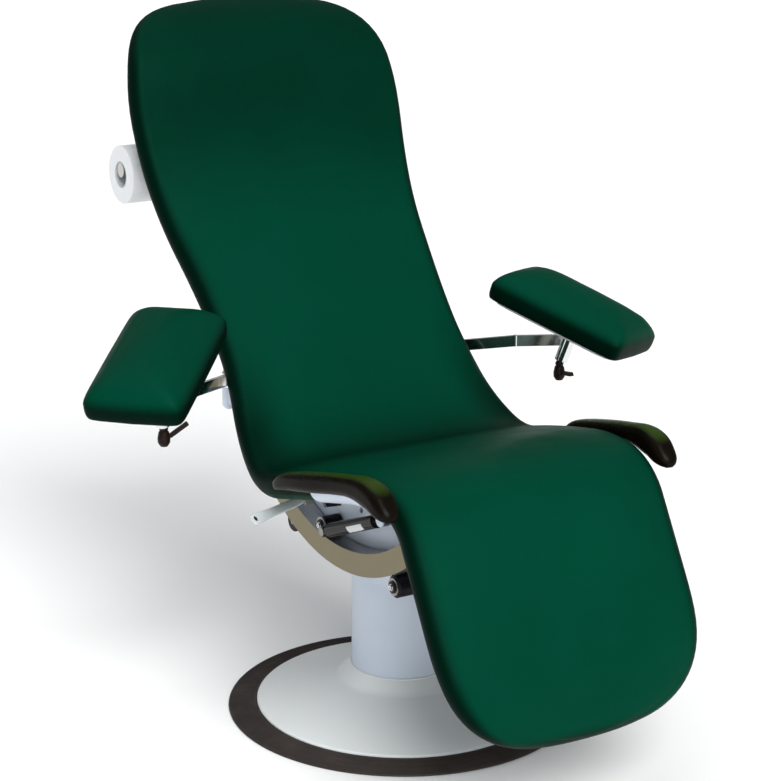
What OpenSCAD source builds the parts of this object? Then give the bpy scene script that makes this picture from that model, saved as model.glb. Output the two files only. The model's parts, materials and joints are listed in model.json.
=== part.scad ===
// Phlebotomy chair: an S-shaped upholstered shell that rocks on two arc rails over a round pedestal.
// The origin is on the floor under the column. X runs across the chair, the feet point to -Y, Z is up.
// "left" and "right" are the sitting person's: left is +X.

/* [Pedestal] */
// Outer radius of the rubber floor ring
ring_r = 350; // [280:5:450]
// Width of the ring's grooved tread
ring_w = 58; // [40:1:80]
// Height of the ring at its inner edge
ring_h = 12; // [8:1:20]
// Depth of the grooves in the ring
groove_d = 1.2; // [0.6:0.1:2]
// Thickness of the ballast plate inside the ring
ballast_t = 11.5; // [8:0.5:11.5]
// Height at which the base cover meets the column
cover_top = 92; // [70:1:130]
// Sheet thickness of the base cover
cover_t = 2.5; // [1.5:0.5:5]
// Outer radius of the column
column_r = 100; // [80:1:125]
// Wall of the column
column_wall = 5; // [3:0.5:10]
// Height of the column's top
column_top = 300; // [260:5:320]
// Thickness of the column's end plates
column_cap_t = 10; // [6:1:14]
// Radius of the column's bolts
column_bolt_r = 6; // [4:0.5:8]

/* [Rocking frame] */
// Height of the rocking centre above the floor
rock_z = 772; // [740:2:820]
// Outer radius of the arc rails
rail_r = 452; // [430:2:470]
// Radial depth of the rail's tube
rail_d = 46; // [36:1:56]
// Width of the rail's tube
rail_w = 40; // [30:1:50]
// Wall of the rail's tube
rail_wall = 3; // [2:0.5:5]
// Distance from the middle of the chair to the rail's inner side
rail_in = 110; // [100:1:130]
// Height of the front beam's lower face, where the rails end
beam_z = 530; // [515:1:540]
// Width of the front beam, front to back
beam_w = 60; // [50:1:70]
// How far the front beam stands out past each rail
beam_over = 20; // [16:1:60]
// Distance of the front beam's middle in front of the column
beam_y = 354; // [345:1:358]
// Thickness of the mounting plates behind the back
flange_t = 6; // [4:0.5:8]
// Radius of the round cross tube between the rails
cross_r = 14; // [10:0.5:18]
// Angle of the rear cross tube up the rail
cross_angle = 74; // [66:1:80]

/* [Column head] */
// Thickness of the side plates
plate_t = 6; // [4:0.5:8]
// Height of the box between the side plates
head_h = 62; // [50:1:76]
// Depth of the box, front to back
head_d = 150; // [120:2:170]
// Wall of the box
head_wall = 8; // [5:0.5:12]
// Radius of the side plates' upper edge about the rocking centre
plate_top_r = 322; // [315:1:336]
// Angle from the middle to each end of the side plates
plate_angle = 31; // [29:1:34]
// Angle of the carrying rollers on either side of the column
roller_angle = 26.5; // [24:0.5:29]
// Radius of the lugs around the carrying rollers' axles
lug_r = 24; // [18:1:28]
// Angle of the hold-down rollers behind the column
keeper_angle = 8.9; // [7:0.1:11]
// Radius of the rollers
roller_r = 22; // [19:0.5:23]
// Radius of the keeper rollers inside the rails
keeper_r = 17.2; // [15:0.1:18]
// Length of the full rollers
roller_len = 38; // [30:1:39]
// Length of the short rollers at the rear
short_roller_len = 21; // [16:1:30]
// Radius of the rollers' axles
axle_r = 6; // [4:0.5:8]
// Play between a roller and its rail, and between pieces that only seat
play = 0.3; // [0.2:0.05:0.4]
// Running clearance of a pin in its bore
fit = 0.05; // [0.02:0.01:0.08]
// Length of the window in each side plate
window_len = 84; // [60:1:100]
// Height of the window's round end
window_h = 15; // [10:1:18]

/* [Gas spring] */
// Distance of the gas spring from the middle of the chair
spring_x = 167; // [164:1:180]
// Rear pivot behind the column axis
spring_y = 14; // [8:1:20]
// Rear pivot above the lowest point of the rail's inner side
spring_gap = 27; // [25:1:32]
// Front pivot in front of the column axis
rod_y = 205; // [200:1:210]
// Front pivot below the rocking centre
rod_drop = 289; // [284:1:294]
// Radius of the gas spring's cylinder
spring_r = 14; // [11:0.5:14.5]
// Wall of the cylinder
spring_wall = 2.5; // [1.5:0.5:4]
// Radius of the piston rod
rod_r = 5; // [4:0.5:7]
// Radius of the spring's pivot studs
stud_r = 4.5; // [3.5:0.5:6]
// Play round the open front pivot
open_play = 3.6; // [3.2:0.1:4.5]

/* [Shell profile] */
// Head edge behind the column axis
head_edge_y = 712; // [700:1:720]
// Head edge above the rocking centre
head_edge_up = 559; // [550:1:570]
// Length of the rolled head edge along the profile
head_roll_len = 205; // [190:1:220]
// Slope of the profile at the head edge
edge_tilt = -3.8; // [-15:0.1:5]
// Length of the head rest
head_len = 139; // [120:1:160]
// Slope at the top of the head rest
head_tilt = -72.4; // [-76:0.1:-68]
// Length of the shoulder bend
shoulder_len = 230; // [215:2:245]
// Slope at the top of the shoulder bend
neck_tilt = -70.3; // [-74:0.1:-66]
// Length of the back
back_len = 358; // [345:1:370]
// Slope at the top of the back
back_tilt = -46.5; // [-49:0.1:-44]
// Length of the lumbar bend
lumbar_len = 133; // [125:1:141]
// Slope at the top of the lumbar bend
lumbar_tilt = -51.6; // [-54:0.1:-49]
// Length of the crease between back and seat
crease_len = 97; // [90:1:104]
// Slope at the rear of the crease
crease_tilt = -26.3; // [-29:0.1:-23]
// Length of the flat of the seat
seat_len = 225; // [218:1:232]
// Slope at the rear of the seat
seat_tilt = 15.4; // [13.5:0.1:17]
// Length of the thigh rise
thigh_len = 112; // [106:1:118]
// Slope at the rear of the thigh rise
thigh_tilt = 12.3; // [11:0.1:14]
// Length of the knee bend
knee_len = 112; // [104:1:120]
// Slope at the top of the knee bend
knee_tilt = -3.9; // [-6:0.1:-2]
// Length of the calf rest
calf_len = 219; // [200:2:240]
// Slope at the top of the calf rest
shin_tilt = -60.5; // [-64:0.1:-57]
// Length of the foot end
foot_len = 181; // [165:2:195]
// Slope at the bottom of the calf rest
calf_tilt = -61.1; // [-64:0.1:-58]
// Slope at the foot edge
foot_tilt = -82.6; // [-84:0.1:-74]

/* [Shell section] */
// Thickness of the shell with its upholstery at the rim
shell_t = 52; // [44:1:60]
// Thickness of the moulded board behind the upholstery
board_t = 12; // [8:1:14]
// Extra height of the cushion in its middle
crown = 9; // [4:1:14]
// Half width at the head
head_half_w = 315; // [290:1:330]
// Half width at the waist
waist_half_w = 274; // [262:1:278]
// Half width at the hip
hip_half_w = 319; // [312:1:323]
// Half width at the calf
calf_half_w = 282; // [270:1:284]
// Length of the round at the head end
head_round = 326; // [280:2:340]
// Length of the round at the foot end
foot_round = 247; // [210:1:280]
// Distance of the widest head place from the head edge
head_at = 246; // [220:2:270]
// Distance of the waist from the head edge
waist_at = 798; // [780:2:820]
// Distance of the widest hip place from the head edge
hip_at = 1169; // [1150:2:1190]
// Distance of the calf's width from the head edge
calf_at = 1587; // [1560:2:1610]

/* [Armrests] */
// Distance of the armrest's rear end from the middle
armrest_x = 331.5; // [331:0.5:336]
// How far the armrest draws in towards its front end
armrest_draw = 26.5; // [20:1:28]
// Rear end of the armrest in front of the column axis
armrest_y = 90; // [80:1:96]
// Rear end of the armrest below the rocking centre
armrest_drop = 236; // [230:1:238]
// Length of the armrest
armrest_len = 369; // [360:1:378]
// Rise of the armrest to its bend
armrest_rise = 75; // [70:1:78]
// Half width of the armrest at its widest
armrest_half_w = 24.5; // [22:0.5:26]
// Half thickness of the armrest at its thickest
armrest_half_t = 24.5; // [20:0.5:25]
// Thickness of the brackets that carry the armrests
bracket_t = 4; // [3:0.5:5]
// How far the top of the armrest's bracket stands up beside the round underside of the armrest
bracket_rise = 3.5; // [0:0.1:3.5]
// Length of the armrest brackets
bracket_len = 136; // [110:1:140]
// Reach of the armrest brackets under the seat
bracket_reach = 70; // [50:2:90]
// Distance of the armrest brackets' middle in front of the column axis
bracket_y = 256; // [250:1:262]

/* [Swing arms] */
// Distance of the swing pivot from the middle
pivot_x = 240; // [236:1:246]
// Swing pivot behind the column axis
pivot_y = 274; // [272:1:282]
// Lower face of the swing arm's eye below the rocking centre
pivot_drop = 137; // [130:1:140]
// Radius of the pivot boss
boss_r = 13.5; // [13:0.5:16]
// Height of the pivot boss
boss_h = 34; // [30:1:46]
// Radius of the pivot bolt
pivot_r = 6; // [5:0.5:7]
// Height of the flat bar
bar_h = 23; // [18:1:26]
// Thickness of the flat bar
bar_t = 8; // [6:0.5:8]
// Bend of the bar: distance from the middle
bend_x = 372; // [366:1:378]
// Bend of the bar: distance behind the column axis
bend_y = 152; // [148:1:160]
// Sleeve of the arm pad: distance from the middle
sleeve_x = 467; // [455:1:475]
// Sleeve of the arm pad: distance behind the column axis
sleeve_y = 103.5; // [98:0.5:110]
// Middle of the sleeve below the rocking centre
sleeve_drop = 113; // [108:1:116]
// Outer radius of the sleeve
sleeve_r = 15; // [13:0.5:17]
// Wall of the sleeve
sleeve_wall = 4; // [3:0.5:5]
// Length of the sleeve
sleeve_len = 60; // [54:1:66]
// Outward lean of the sleeve
sleeve_lean = 13; // [10:0.5:18]
// Forward lean of the sleeve
sleeve_fore = 13.5; // [8:0.5:16]

/* [Arm pads] */
// Length of an arm pad
pad_len = 322; // [300:2:340]
// Width of an arm pad
pad_w = 196; // [190:2:214]
// Thickness of an arm pad's cushion at its edge
pad_t = 64; // [50:1:66]
// Extra height of the arm pad's middle
pad_crown = 24; // [12:1:26]
// Thickness of the arm pad's board
pad_board_t = 6; // [4:0.5:8]
// Height of the left arm pad's board above the sleeve's middle
pad_up = 42; // [40:1:50]
// How far an arm pad's middle lies behind its post
pad_shift = 12.5; // [0:0.5:20]
// How much further the right arm pad is drawn out of its sleeve
right_pad_raise = 24.5; // [0:0.5:30]
// Travel of an arm pad's post in its sleeve
post_travel = 45; // [20:5:45]
// Turn of the left pad's front end away from the chair
left_pad_turn = 28.5; // [20:0.5:40]
// Turn of the right pad's front end away from the chair
right_pad_turn = 45; // [34:0.5:50]
// How far the right arm stands further out than the left one, in degrees
right_arm_swing = 1; // [0:0.5:8]
// Radius of the clamp knob's grip
knob_r = 12.5; // [10:0.5:14]
// Length of the clamp knob
knob_len = 35; // [28:1:42]

/* [Release lever] */
// Distance of the lever's pivot from the middle
lever_x = 232; // [226:1:240]
// Lever in front of the column axis
lever_y = 20; // [15:1:25]
// Lever's pivot below the rocking centre
lever_drop = 290.5; // [290:0.5:294]
// Length of the lever
lever_len = 118; // [100:1:125]
// Width of the lever's blade
lever_w = 27; // [22:1:30]
// Thickness of the lever
lever_t = 4; // [3:0.5:5]
// Droop of the lever at rest
lever_droop = 12; // [9:0.5:14]
// How far the blade of the lever is turned about its length, in degrees
lever_roll = 33; // [20:1:36]

/* [Paper roll] */
// Outer radius of the paper roll
roll_r = 61; // [50:1:64]
// Length of the paper roll
roll_len = 590; // [560:5:596]
// Inner radius of the paper roll's core
core_r = 25; // [22:0.5:28]
// Thickness of the cardboard core
core_t = 2.5; // [1.5:0.5:4]
// Radius of the holder's rod
roll_rod_r = 15; // [12:0.5:16]
// Axis of the roll behind the column axis
roll_y = 641; // [638:1:655]
// Axis of the roll above the rocking centre
roll_up = 239; // [230:1:245]

/* [Hidden] */
$fn = 64;
over = 1;

// The shell's profile: runs of constant curvature from the head edge to the foot edge.
runs = [head_roll_len, head_len, shoulder_len, back_len, lumbar_len, crease_len, seat_len, thigh_len,
    knee_len, calf_len, foot_len];
tilts = [edge_tilt, head_tilt, neck_tilt, back_tilt, lumbar_tilt, crease_tilt, seat_tilt, thigh_tilt,
    knee_tilt, shin_tilt, calf_tilt, foot_tilt];
function run_start(i) = i == 0 ? 0 : run_start(i - 1) + runs[i - 1];
starts = [for (i = [0:len(runs)]) run_start(i)];
shell_len = starts[len(runs)];
function arc_step(p, a, b, d) =
    abs(b - a) < 0.01 ? p + d * [-cos(a), sin(a)]
    : p + d / ((b - a) * PI / 180) * [sin(a) - sin(b), cos(a) - cos(b)];
function run_point(i) = i == 0 ? [head_edge_y, rock_z + head_edge_up]
    : arc_step(run_point(i - 1), tilts[i - 1], tilts[i], runs[i - 1]);
run_points = [for (i = [0:len(runs)]) run_point(i)];
function run_of(s) = max([for (i = [0:len(runs) - 1]) starts[i] <= s ? i : 0]);
// Slope of the profile at a distance s from the head edge.
function slope(s) = let (i = run_of(s)) tilts[i] + (tilts[i + 1] - tilts[i]) * (s - starts[i]) / runs[i];
// Point [y, z] of the profile's middle line.
function spine(s) = let (i = run_of(s)) arc_step(run_points[i], tilts[i], slope(s), s - starts[i]);
// Point at x across, s along and n above the middle line.
function on_shell(x, s, n) = let (p = spine(s), a = slope(s)) [x, p[0] + n * sin(a), p[1] + n * cos(a)];

// The shell's outline: smooth steps between the widths, closed by a round at each end.
function ease(t) = t * t * (3 - 2 * t);
function step_between(s, s0, s1, w0, w1) = w0 + (w1 - w0) * ease(min(max((s - s0) / (s1 - s0), 0), 1));
round_power = 2.9;
function end_round(d, r) = d >= r ? 1 : pow(max(1 - pow((r - d) / r, round_power), 0), 1 / round_power);
function side_w(s) =
    s < waist_at ? step_between(s, head_at, waist_at, head_half_w, waist_half_w)
    : s < hip_at ? step_between(s, waist_at, hip_at, waist_half_w, hip_half_w)
    : step_between(s, hip_at, calf_at, hip_half_w, calf_half_w);
function half_w(s) = side_w(s) * end_round(s, head_round) * end_round(shell_len - s, foot_round);
edge_r = shell_t / 2;
split_n = edge_r - board_t;
function half_t(s) = let (d = min(s, shell_len - s)) d >= edge_r ? edge_r
    : sqrt(max(edge_r * edge_r - pow(edge_r - d, 2), 0));
// Width of the rounded edge in a slice across the shell.
function edge_w(s) =
    let (h = shell_len / 4000, slant = (half_w(min(s + h, shell_len)) - half_w(max(s - h, 0))) / (2 * h))
    min(half_w(s) * 0.96, edge_r * sqrt(1 + slant * slant));

// Stations along the shell, closer where it bends and at its ends.
end_steps = 9;
head_stations = [for (k = [1:end_steps]) head_round * pow(k / end_steps, 2)];
foot_stations = [for (k = [end_steps - 1:-1:1]) shell_len - foot_round * pow(k / (end_steps - 1), 2)];
run_steps = [0, 0, 4, 5, 4, 6, 3, 2, 7, 0, 0];
middle_stations = [for (i = [1:8]) for (k = [1:run_steps[i]]) starts[i] + runs[i] * k / run_steps[i]];
calf_station = [(starts[9] + shell_len - foot_round) / 2];
stations = concat(head_stations, middle_stations, calf_station, foot_stations);

// Closed skin through rings of equal size, with a tip or a flat face at each end.
function ring_faces(n, m) = [for (i = [0:n - 2]) for (j = [0:m - 1]) let (k = (j + 1) % m)
    each [[i * m + k, i * m + j, (i + 1) * m + k], [i * m + j, (i + 1) * m + j, (i + 1) * m + k]]];
module skin(rings, tip_a, tip_b) {
    n = len(rings);
    m = len(rings[0]);
    points = concat([for (r = rings) each r], [tip_a, tip_b]);
    caps = [for (j = [0:m - 1]) let (k = (j + 1) % m)
        each [[n * m, j, k], [n * m + 1, (n - 1) * m + k, (n - 1) * m + j]]];
    polyhedron(points, concat(ring_faces(n, m), caps));
}
function middle_of(ring) = [for (c = [0:2]) [for (p = ring) p[c]] * [for (p = ring) 1 / len(ring)]];

// Half of the cushion's section runs from the seam round the edge; the front face is crowned.
seam_angle = -asin(split_n / edge_r);
cushion_edge = [for (k = [0:5]) seam_angle + (90 - seam_angle) * k / 5];
function cushion_ring(s) =
    let (w = half_w(s), e = edge_w(s), t = half_t(s), c = crown * t / edge_r * min(1, w / waist_half_w))
    concat(
        [for (a = cushion_edge) on_shell(w - e + e * cos(a), s, t * sin(a))],
        [for (k = [1:7]) let (u = 1 - k / 4) on_shell(u * (w - e), s, t + c * (1 - pow(u, 4)))],
        [for (k = [5:-1:0]) let (a = cushion_edge[k]) on_shell(-w + e - e * cos(a), s, t * sin(a))],
        [for (k = [1:4]) let (u = k / 2.5 - 1)
            on_shell(u * (w - e + e * cos(seam_angle)), s, t * sin(seam_angle))]
    );
board_edge = [for (k = [0:3]) seam_angle - (90 + seam_angle) * k / 3];
function board_n(t, a, k) = k == 0 ? t * sin(a) - play : t * sin(a);
function board_ring(s) =
    let (w = half_w(s), e = edge_w(s), t = half_t(s))
    concat(
        [for (k = [3:-1:0]) on_shell(w - e + e * cos(board_edge[k]), s, board_n(t, board_edge[k], k))],
        [for (k = [1:3]) on_shell((1 - k / 2) * (w - e + e * cos(seam_angle)), s, board_n(t, seam_angle, 0))],
        [for (k = [0:3]) on_shell(-w + e - e * cos(board_edge[k]), s, board_n(t, board_edge[k], k))],
        [for (k = [1:3]) on_shell((k / 2 - 1) * (w - e), s, -t)]
    );

module seat_upholstery() {
    color([0.0, 0.26, 0.17])
        skin([for (s = stations) cushion_ring(s)], on_shell(0, 0, 0), on_shell(0, shell_len, 0));
}
module back_board() {
    rings = [for (k = [1:len(stations) - 2]) board_ring(stations[k])];
    color([0.0, 0.17, 0.12]) skin(rings, middle_of(rings[0]), middle_of(rings[len(rings) - 1]));
}

// Height over the shell's middle line at s0 of a flat plate that seats on the back of the shell: its
// middle is off along the shell from s0, and it reaches half both ways from there.
function bed_n(s0, half, off = 0) = min([for (k = [-10:10])
    let (p = on_shell(0, s0 + off + half * k / 10, -edge_r) - on_shell(0, s0, 0), a = slope(s0))
    p[1] * sin(a) + p[2] * cos(a)]) - play;

// Places children on the shell: their Z is the shell's front normal, their Y runs towards the head.
module at_shell(s, n = 0) {
    p = on_shell(0, s, n);
    translate(p) rotate([-slope(s), 0, 0]) children();
}
// Places the children's X-Y outline in the chair's Y-Z plane, thick along X from x.
module side_extrude(x, t) {
    translate([x, 0, 0]) rotate([90, 0, 90]) linear_extrude(t) children();
}
module lying_tube(p, len, r, r_in = 0) {
    translate(p) rotate([0, 90, 0]) difference() {
        cylinder(h = len, r = r);
        if (r_in > 0) translate([0, 0, -over]) cylinder(h = len + 2 * over, r = r_in);
    }
}
module both_sides() {
    children();
    mirror([1, 0, 0]) children();
}
function arc_at(r, a) = [r * sin(a), rock_z - r * cos(a)];

// Pedestal
groove_count = 9;
groove_pitch = ring_w / (groove_count + 3);
module base_ring() {
    slope_h = ring_h / 2;
    color([0.12, 0.11, 0.1]) rotate_extrude($fn = 128) difference() {
        polygon([[ring_r - ring_w, 0], [ring_r - ring_h / 4, 0], [ring_r, ring_h / 4],
            [ring_r - ring_h / 6, slope_h],
            [ring_r - ring_w + ring_h / 2, ring_h], [ring_r - ring_w, ring_h]]);
        for (k = [1:groove_count]) {
            u = k / (groove_count + 1);
            translate([ring_r - ring_w + ring_h / 2 + u * (ring_w - ring_h), ring_h - u * slope_h])
                circle(r = groove_d, $fn = 16);
        }
    }
}
module ballast_plate() {
    color("dimgray") difference() {
        cylinder(h = ballast_t, r = ring_r - ring_w - play, $fn = 128);
        for (a = [45:90:315]) rotate([0, 0, a]) translate([column_r - 4 * column_bolt_r, 0, -over])
            cylinder(h = ballast_t + 2 * over, r = column_bolt_r);
    }
}
module base_cover() {
    rim_r = ring_r - ring_w;
    foot_z = ring_h + play;
    neck_r = column_r + play;
    flare = (cover_top - foot_z) / 3;
    swell = flare / 2;
    color([0.8, 0.83, 0.86]) rotate_extrude($fn = 128) difference() {
        polygon([[neck_r, foot_z], [rim_r, foot_z], [rim_r, foot_z + cover_t],
            [rim_r - cover_t, foot_z + 2 * cover_t],
            [neck_r + flare + swell, cover_top - flare - swell / 3], [neck_r + flare, cover_top - flare],
            [neck_r + cover_t, cover_top - cover_t], [neck_r + cover_t, cover_top], [neck_r, cover_top]]);
        polygon([[0, 0], [rim_r - 2 * cover_t, 0], [rim_r - 2 * cover_t, foot_z + cover_t],
            [neck_r + flare + swell - cover_t, cover_top - flare - swell / 3 - 2 * cover_t],
            [neck_r, cover_top - flare - cover_t], [0, cover_top - flare - cover_t]]);
    }
}
module column_tube() {
    foot_z = ballast_t + play;
    color([0.78, 0.82, 0.87]) difference() {
        translate([0, 0, foot_z]) cylinder(h = column_top - foot_z, r = column_r);
        translate([0, 0, foot_z + column_cap_t])
            cylinder(h = column_top - foot_z - 2 * column_cap_t, r = column_r - column_wall);
        for (a = [45:90:315]) rotate([0, 0, a]) translate([column_r - 4 * column_bolt_r, 0, 0])
            cylinder(h = column_top + over, r = column_bolt_r);
    }
}
module screw_head(r, h_share = 1.4) {
    difference() {
        cylinder(h = r * h_share, r = r * 1.6);
        translate([0, 0, r * h_share / 2]) cylinder(h = r * h_share, r = r * 0.85, $fn = 6);
    }
}
module column_bolts() {
    shank = head_wall + column_cap_t;
    color("silver") for (a = [45:90:315]) rotate([0, 0, a])
        translate([column_r - 4 * column_bolt_r, 0, column_top - column_cap_t]) {
            cylinder(h = shank + column_bolt_r / 2, r = column_bolt_r - fit);
            translate([0, 0, shank + play / 3]) screw_head(column_bolt_r);
        }
}

// Column head
plate_in = column_r + 2 * play;
plate_out = plate_in + plate_t;
rail_inner_r = rail_r - rail_d;
carry_r = rail_r + play + roller_r;
keep_r = rail_inner_r - play - keeper_r;
front_axle = arc_at(carry_r, -roller_angle);
rear_axle = arc_at(carry_r, roller_angle);
keeper_axle = arc_at(keep_r, keeper_angle);
spring_pivot = [spring_y, rock_z - rail_inner_r + spring_gap];
web_y = head_d / 2;
web_top = column_top + head_h;
// The web under each lug runs tangent to the lug's round down to the column's top.
module lug_web(side) {
    lug = side < 0 ? front_axle : rear_axle;
    low = [side * web_y * 0.7, column_top];
    d = low - lug;
    lean = acos(lug_r / norm(d)) * side;
    a = atan2(d[1], d[0]);
    touch = lug + lug_r * 0.998 * [cos(a + lean), sin(a + lean)];
    polygon([lug, touch, low, [low[0], web_top]]);
}
module capsule(p, q, rp, rq) {
    d = q - p;
    n = [-d[1], d[0]] / norm(d) * 0.995;
    translate(p) circle(r = rp);
    translate(q) circle(r = rq);
    polygon([p + n * rp, q + n * rq, q - n * rq, p - n * rp]);
}
module head_box() {
    half = plate_in - play / 3;
    color([0.7, 0.75, 0.82]) difference() {
        translate([-half, -head_d / 2, column_top]) cube([2 * half, head_d, head_h]);
        translate([-half + head_wall, -head_d / 2 + head_wall, column_top + head_wall])
            cube([2 * (half - head_wall), head_d - 2 * head_wall, head_h]);
        for (a = [45:90:315]) rotate([0, 0, a])
            translate([column_r - 4 * column_bolt_r, 0, column_top - over])
            cylinder(h = head_wall + 2 * over, r = column_bolt_r);
    }
}
window_at = arc_at(plate_top_r + window_h * 4.2, 18.5);
module side_plate() {
    hole_at = arc_at(plate_top_r + window_h, -3.6);
    color([0.72, 0.77, 0.84]) difference() {
        union() {
            side_extrude(plate_in, plate_t) intersection() {
                translate([0, rock_z]) difference() {
                    circle(r = rail_r, $fn = 128);
                    circle(r = plate_top_r, $fn = 128);
                }
                polygon([[0, rock_z], arc_at(2 * carry_r, -plate_angle), arc_at(2 * carry_r, plate_angle)]);
            }
            side_extrude(plate_in, plate_t) polygon([front_axle, [-web_y, column_top], [web_y, column_top],
                rear_axle, [web_y, web_top], [-web_y, web_top]]);
            for (p = [front_axle, rear_axle]) lying_tube([plate_in, p[0], p[1]], plate_t, lug_r);
            for (side = [-1, 1]) side_extrude(plate_in, plate_t) lug_web(side);
        }
        side_extrude(plate_in - over, plate_t + 2 * over) translate(window_at) rotate(-15) {
            circle(r = window_h / 2);
            polygon([[0, window_h / 2], [0, -window_h / 2], [-window_len + window_h, -window_h / 8],
                [-window_len + window_h, window_h / 8]]);
        }
        side_extrude(plate_in - over, plate_t + 2 * over) translate(hole_at) circle(r = window_h / 2.4);
        for (p = [front_axle, rear_axle, keeper_axle])
            lying_tube([plate_in - over, p[0], p[1]], plate_t + 2 * over, axle_r);
        lying_tube([plate_in - over, spring_pivot[0], spring_pivot[1]], plate_t + 2 * over, stud_r);
    }
}
module side_plate_left() { side_plate(); }
module side_plate_right() { mirror([1, 0, 0]) side_plate(); }
module plate_screws() {
    color("silver") both_sides() for (y = [-head_d / 4, head_d / 4])
        translate([plate_out + play / 3, y, column_top + head_h / 3]) rotate([0, 90, 0])
            screw_head(axle_r, 0.35);
}
roller_gap = plate_t / 2;
roller_x = plate_out + roller_gap;
module stub_axle(p, len) {
    lying_tube([plate_in, p[0], p[1]], plate_t + roller_gap + len + roller_gap / 2, axle_r - fit);
    lying_tube([plate_out + play / 3, p[0], p[1]], roller_gap - 2 * play / 3, axle_r * 1.6);
}
module roller_axles() {
    color("silver") both_sides() {
        stub_axle(front_axle, roller_len);
        stub_axle(keeper_axle, roller_len);
        stub_axle(rear_axle, short_roller_len);
    }
}
module axle_cap(p, x) {
    lying_tube([x, p[0], p[1]], roller_gap, roller_r * 0.78, axle_r);
    lying_tube([x + roller_gap, p[0], p[1]], roller_gap * 1.4, axle_r * 1.25);
}
module roller_caps() {
    x = roller_x + roller_len + play;
    color("silver") both_sides() {
        axle_cap(front_axle, x);
        axle_cap(keeper_axle, x);
    }
}
module roller(p, len, r = roller_r) {
    chamfer = r / 12;
    color([0.05, 0.05, 0.055]) translate([roller_x, p[0], p[1]]) rotate([0, 90, 0]) rotate_extrude()
        polygon([[axle_r, 0], [r - chamfer, 0], [r, chamfer], [r, len - chamfer], [r - chamfer, len],
            [axle_r, len]]);
}
module roller_front_left() { roller(front_axle, roller_len); }
module roller_front_right() { mirror([1, 0, 0]) roller(front_axle, roller_len); }
module roller_rear_left() { roller(rear_axle, short_roller_len); }
module roller_rear_right() { mirror([1, 0, 0]) roller(rear_axle, short_roller_len); }
module keeper_left() { roller(keeper_axle, roller_len, keeper_r); }
module keeper_right() { mirror([1, 0, 0]) roller(keeper_axle, roller_len, keeper_r); }

// Gas spring on the right side, drawn along +X from its rear pivot and turned into place
rod_pivot = [-rod_y, rock_z - rod_drop];
spring_line = rod_pivot - spring_pivot;
spring_span = norm(spring_line);
spring_pitch = atan2(spring_line[1], -spring_line[0]);
eye_w = spring_r;
eye_r = spring_r * 0.8;
cylinder_end = spring_span - eye_r - open_play - spring_r;
cylinder_start = eye_r + spring_r * 0.6;
module along_spring() {
    translate([-spring_x, spring_pivot[0], spring_pivot[1]]) rotate([0, 0, -90])
        rotate([0, -spring_pitch, 0])
        children();
}
module spring_cylinder() {
    neck = cylinder_start - eye_r / 2;
    color([0.04, 0.04, 0.045]) along_spring() difference() {
        union() {
            translate([cylinder_start, 0, 0]) rotate([0, 90, 0])
                cylinder(h = cylinder_end - cylinder_start, r = spring_r);
            translate([eye_r / 2, 0, 0]) rotate([0, 90, 0]) cylinder(h = neck, r = eye_r * 0.6);
            translate([0, eye_w / 2, 0]) rotate([90, 0, 0]) cylinder(h = eye_w, r = eye_r);
        }
        translate([0, eye_w / 2 + over, 0]) rotate([90, 0, 0])
            cylinder(h = eye_w + 2 * over, r = stud_r + fit);
        translate([cylinder_start + spring_wall * 2, 0, 0]) rotate([0, 90, 0])
            cylinder(h = cylinder_end - cylinder_start - 4 * spring_wall, r = spring_r - spring_wall);
        translate([cylinder_start + spring_r, 0, 0]) rotate([0, 90, 0])
            cylinder(h = spring_span, r = rod_r + fit);
    }
}
rod_eye_r = stud_r + open_play + rod_r;
module spring_rod() {
    piston_x = cylinder_start + spring_wall * 2 + play;
    color([0.75, 0.76, 0.78]) along_spring() difference() {
        union() {
            translate([piston_x, 0, 0]) rotate([0, 90, 0])
                cylinder(h = spring_r / 2, r = spring_r - spring_wall - fit);
            translate([piston_x, 0, 0]) rotate([0, 90, 0])
                cylinder(h = spring_span - piston_x - stud_r, r = rod_r);
            translate([spring_span, eye_w / 2, 0]) rotate([90, 0, 0]) cylinder(h = eye_w, r = rod_eye_r);
        }
        translate([spring_span, eye_w / 2 + over, 0]) rotate([90, 0, 0])
            cylinder(h = eye_w + 2 * over, r = stud_r + open_play);
    }
}
module spring_stud() {
    reach = spring_x + eye_w / 2 - plate_in;
    color("silver") mirror([1, 0, 0]) {
        lying_tube([plate_in, spring_pivot[0], spring_pivot[1]], reach + roller_gap, stud_r - fit / 5);
        lying_tube([plate_out + play / 3, spring_pivot[0], spring_pivot[1]],
            spring_x - eye_w / 2 - play - plate_out - play / 3, stud_r * 1.5);
        lying_tube([spring_x + eye_w / 2 + play, spring_pivot[0], spring_pivot[1]], roller_gap, eye_r * 0.8);
    }
}

// Rocking frame
module rail_section() {
    difference() {
        translate([rail_inner_r, rail_in]) square([rail_d, rail_w]);
        translate([rail_inner_r + rail_wall, rail_in + rail_wall])
            square([rail_d - 2 * rail_wall, rail_w - 2 * rail_wall]);
    }
}
// Where the rails meet the back of the shell
rail_mid_r = rail_r - rail_d / 2;
flange_s = max([for (k = [0:400]) let (s = starts[2] + (shoulder_len + back_len) * k / 400)
    if (norm(on_shell(0, s, -edge_r - flange_t) - [0, 0, rock_z]) > rail_mid_r) s]);
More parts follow.
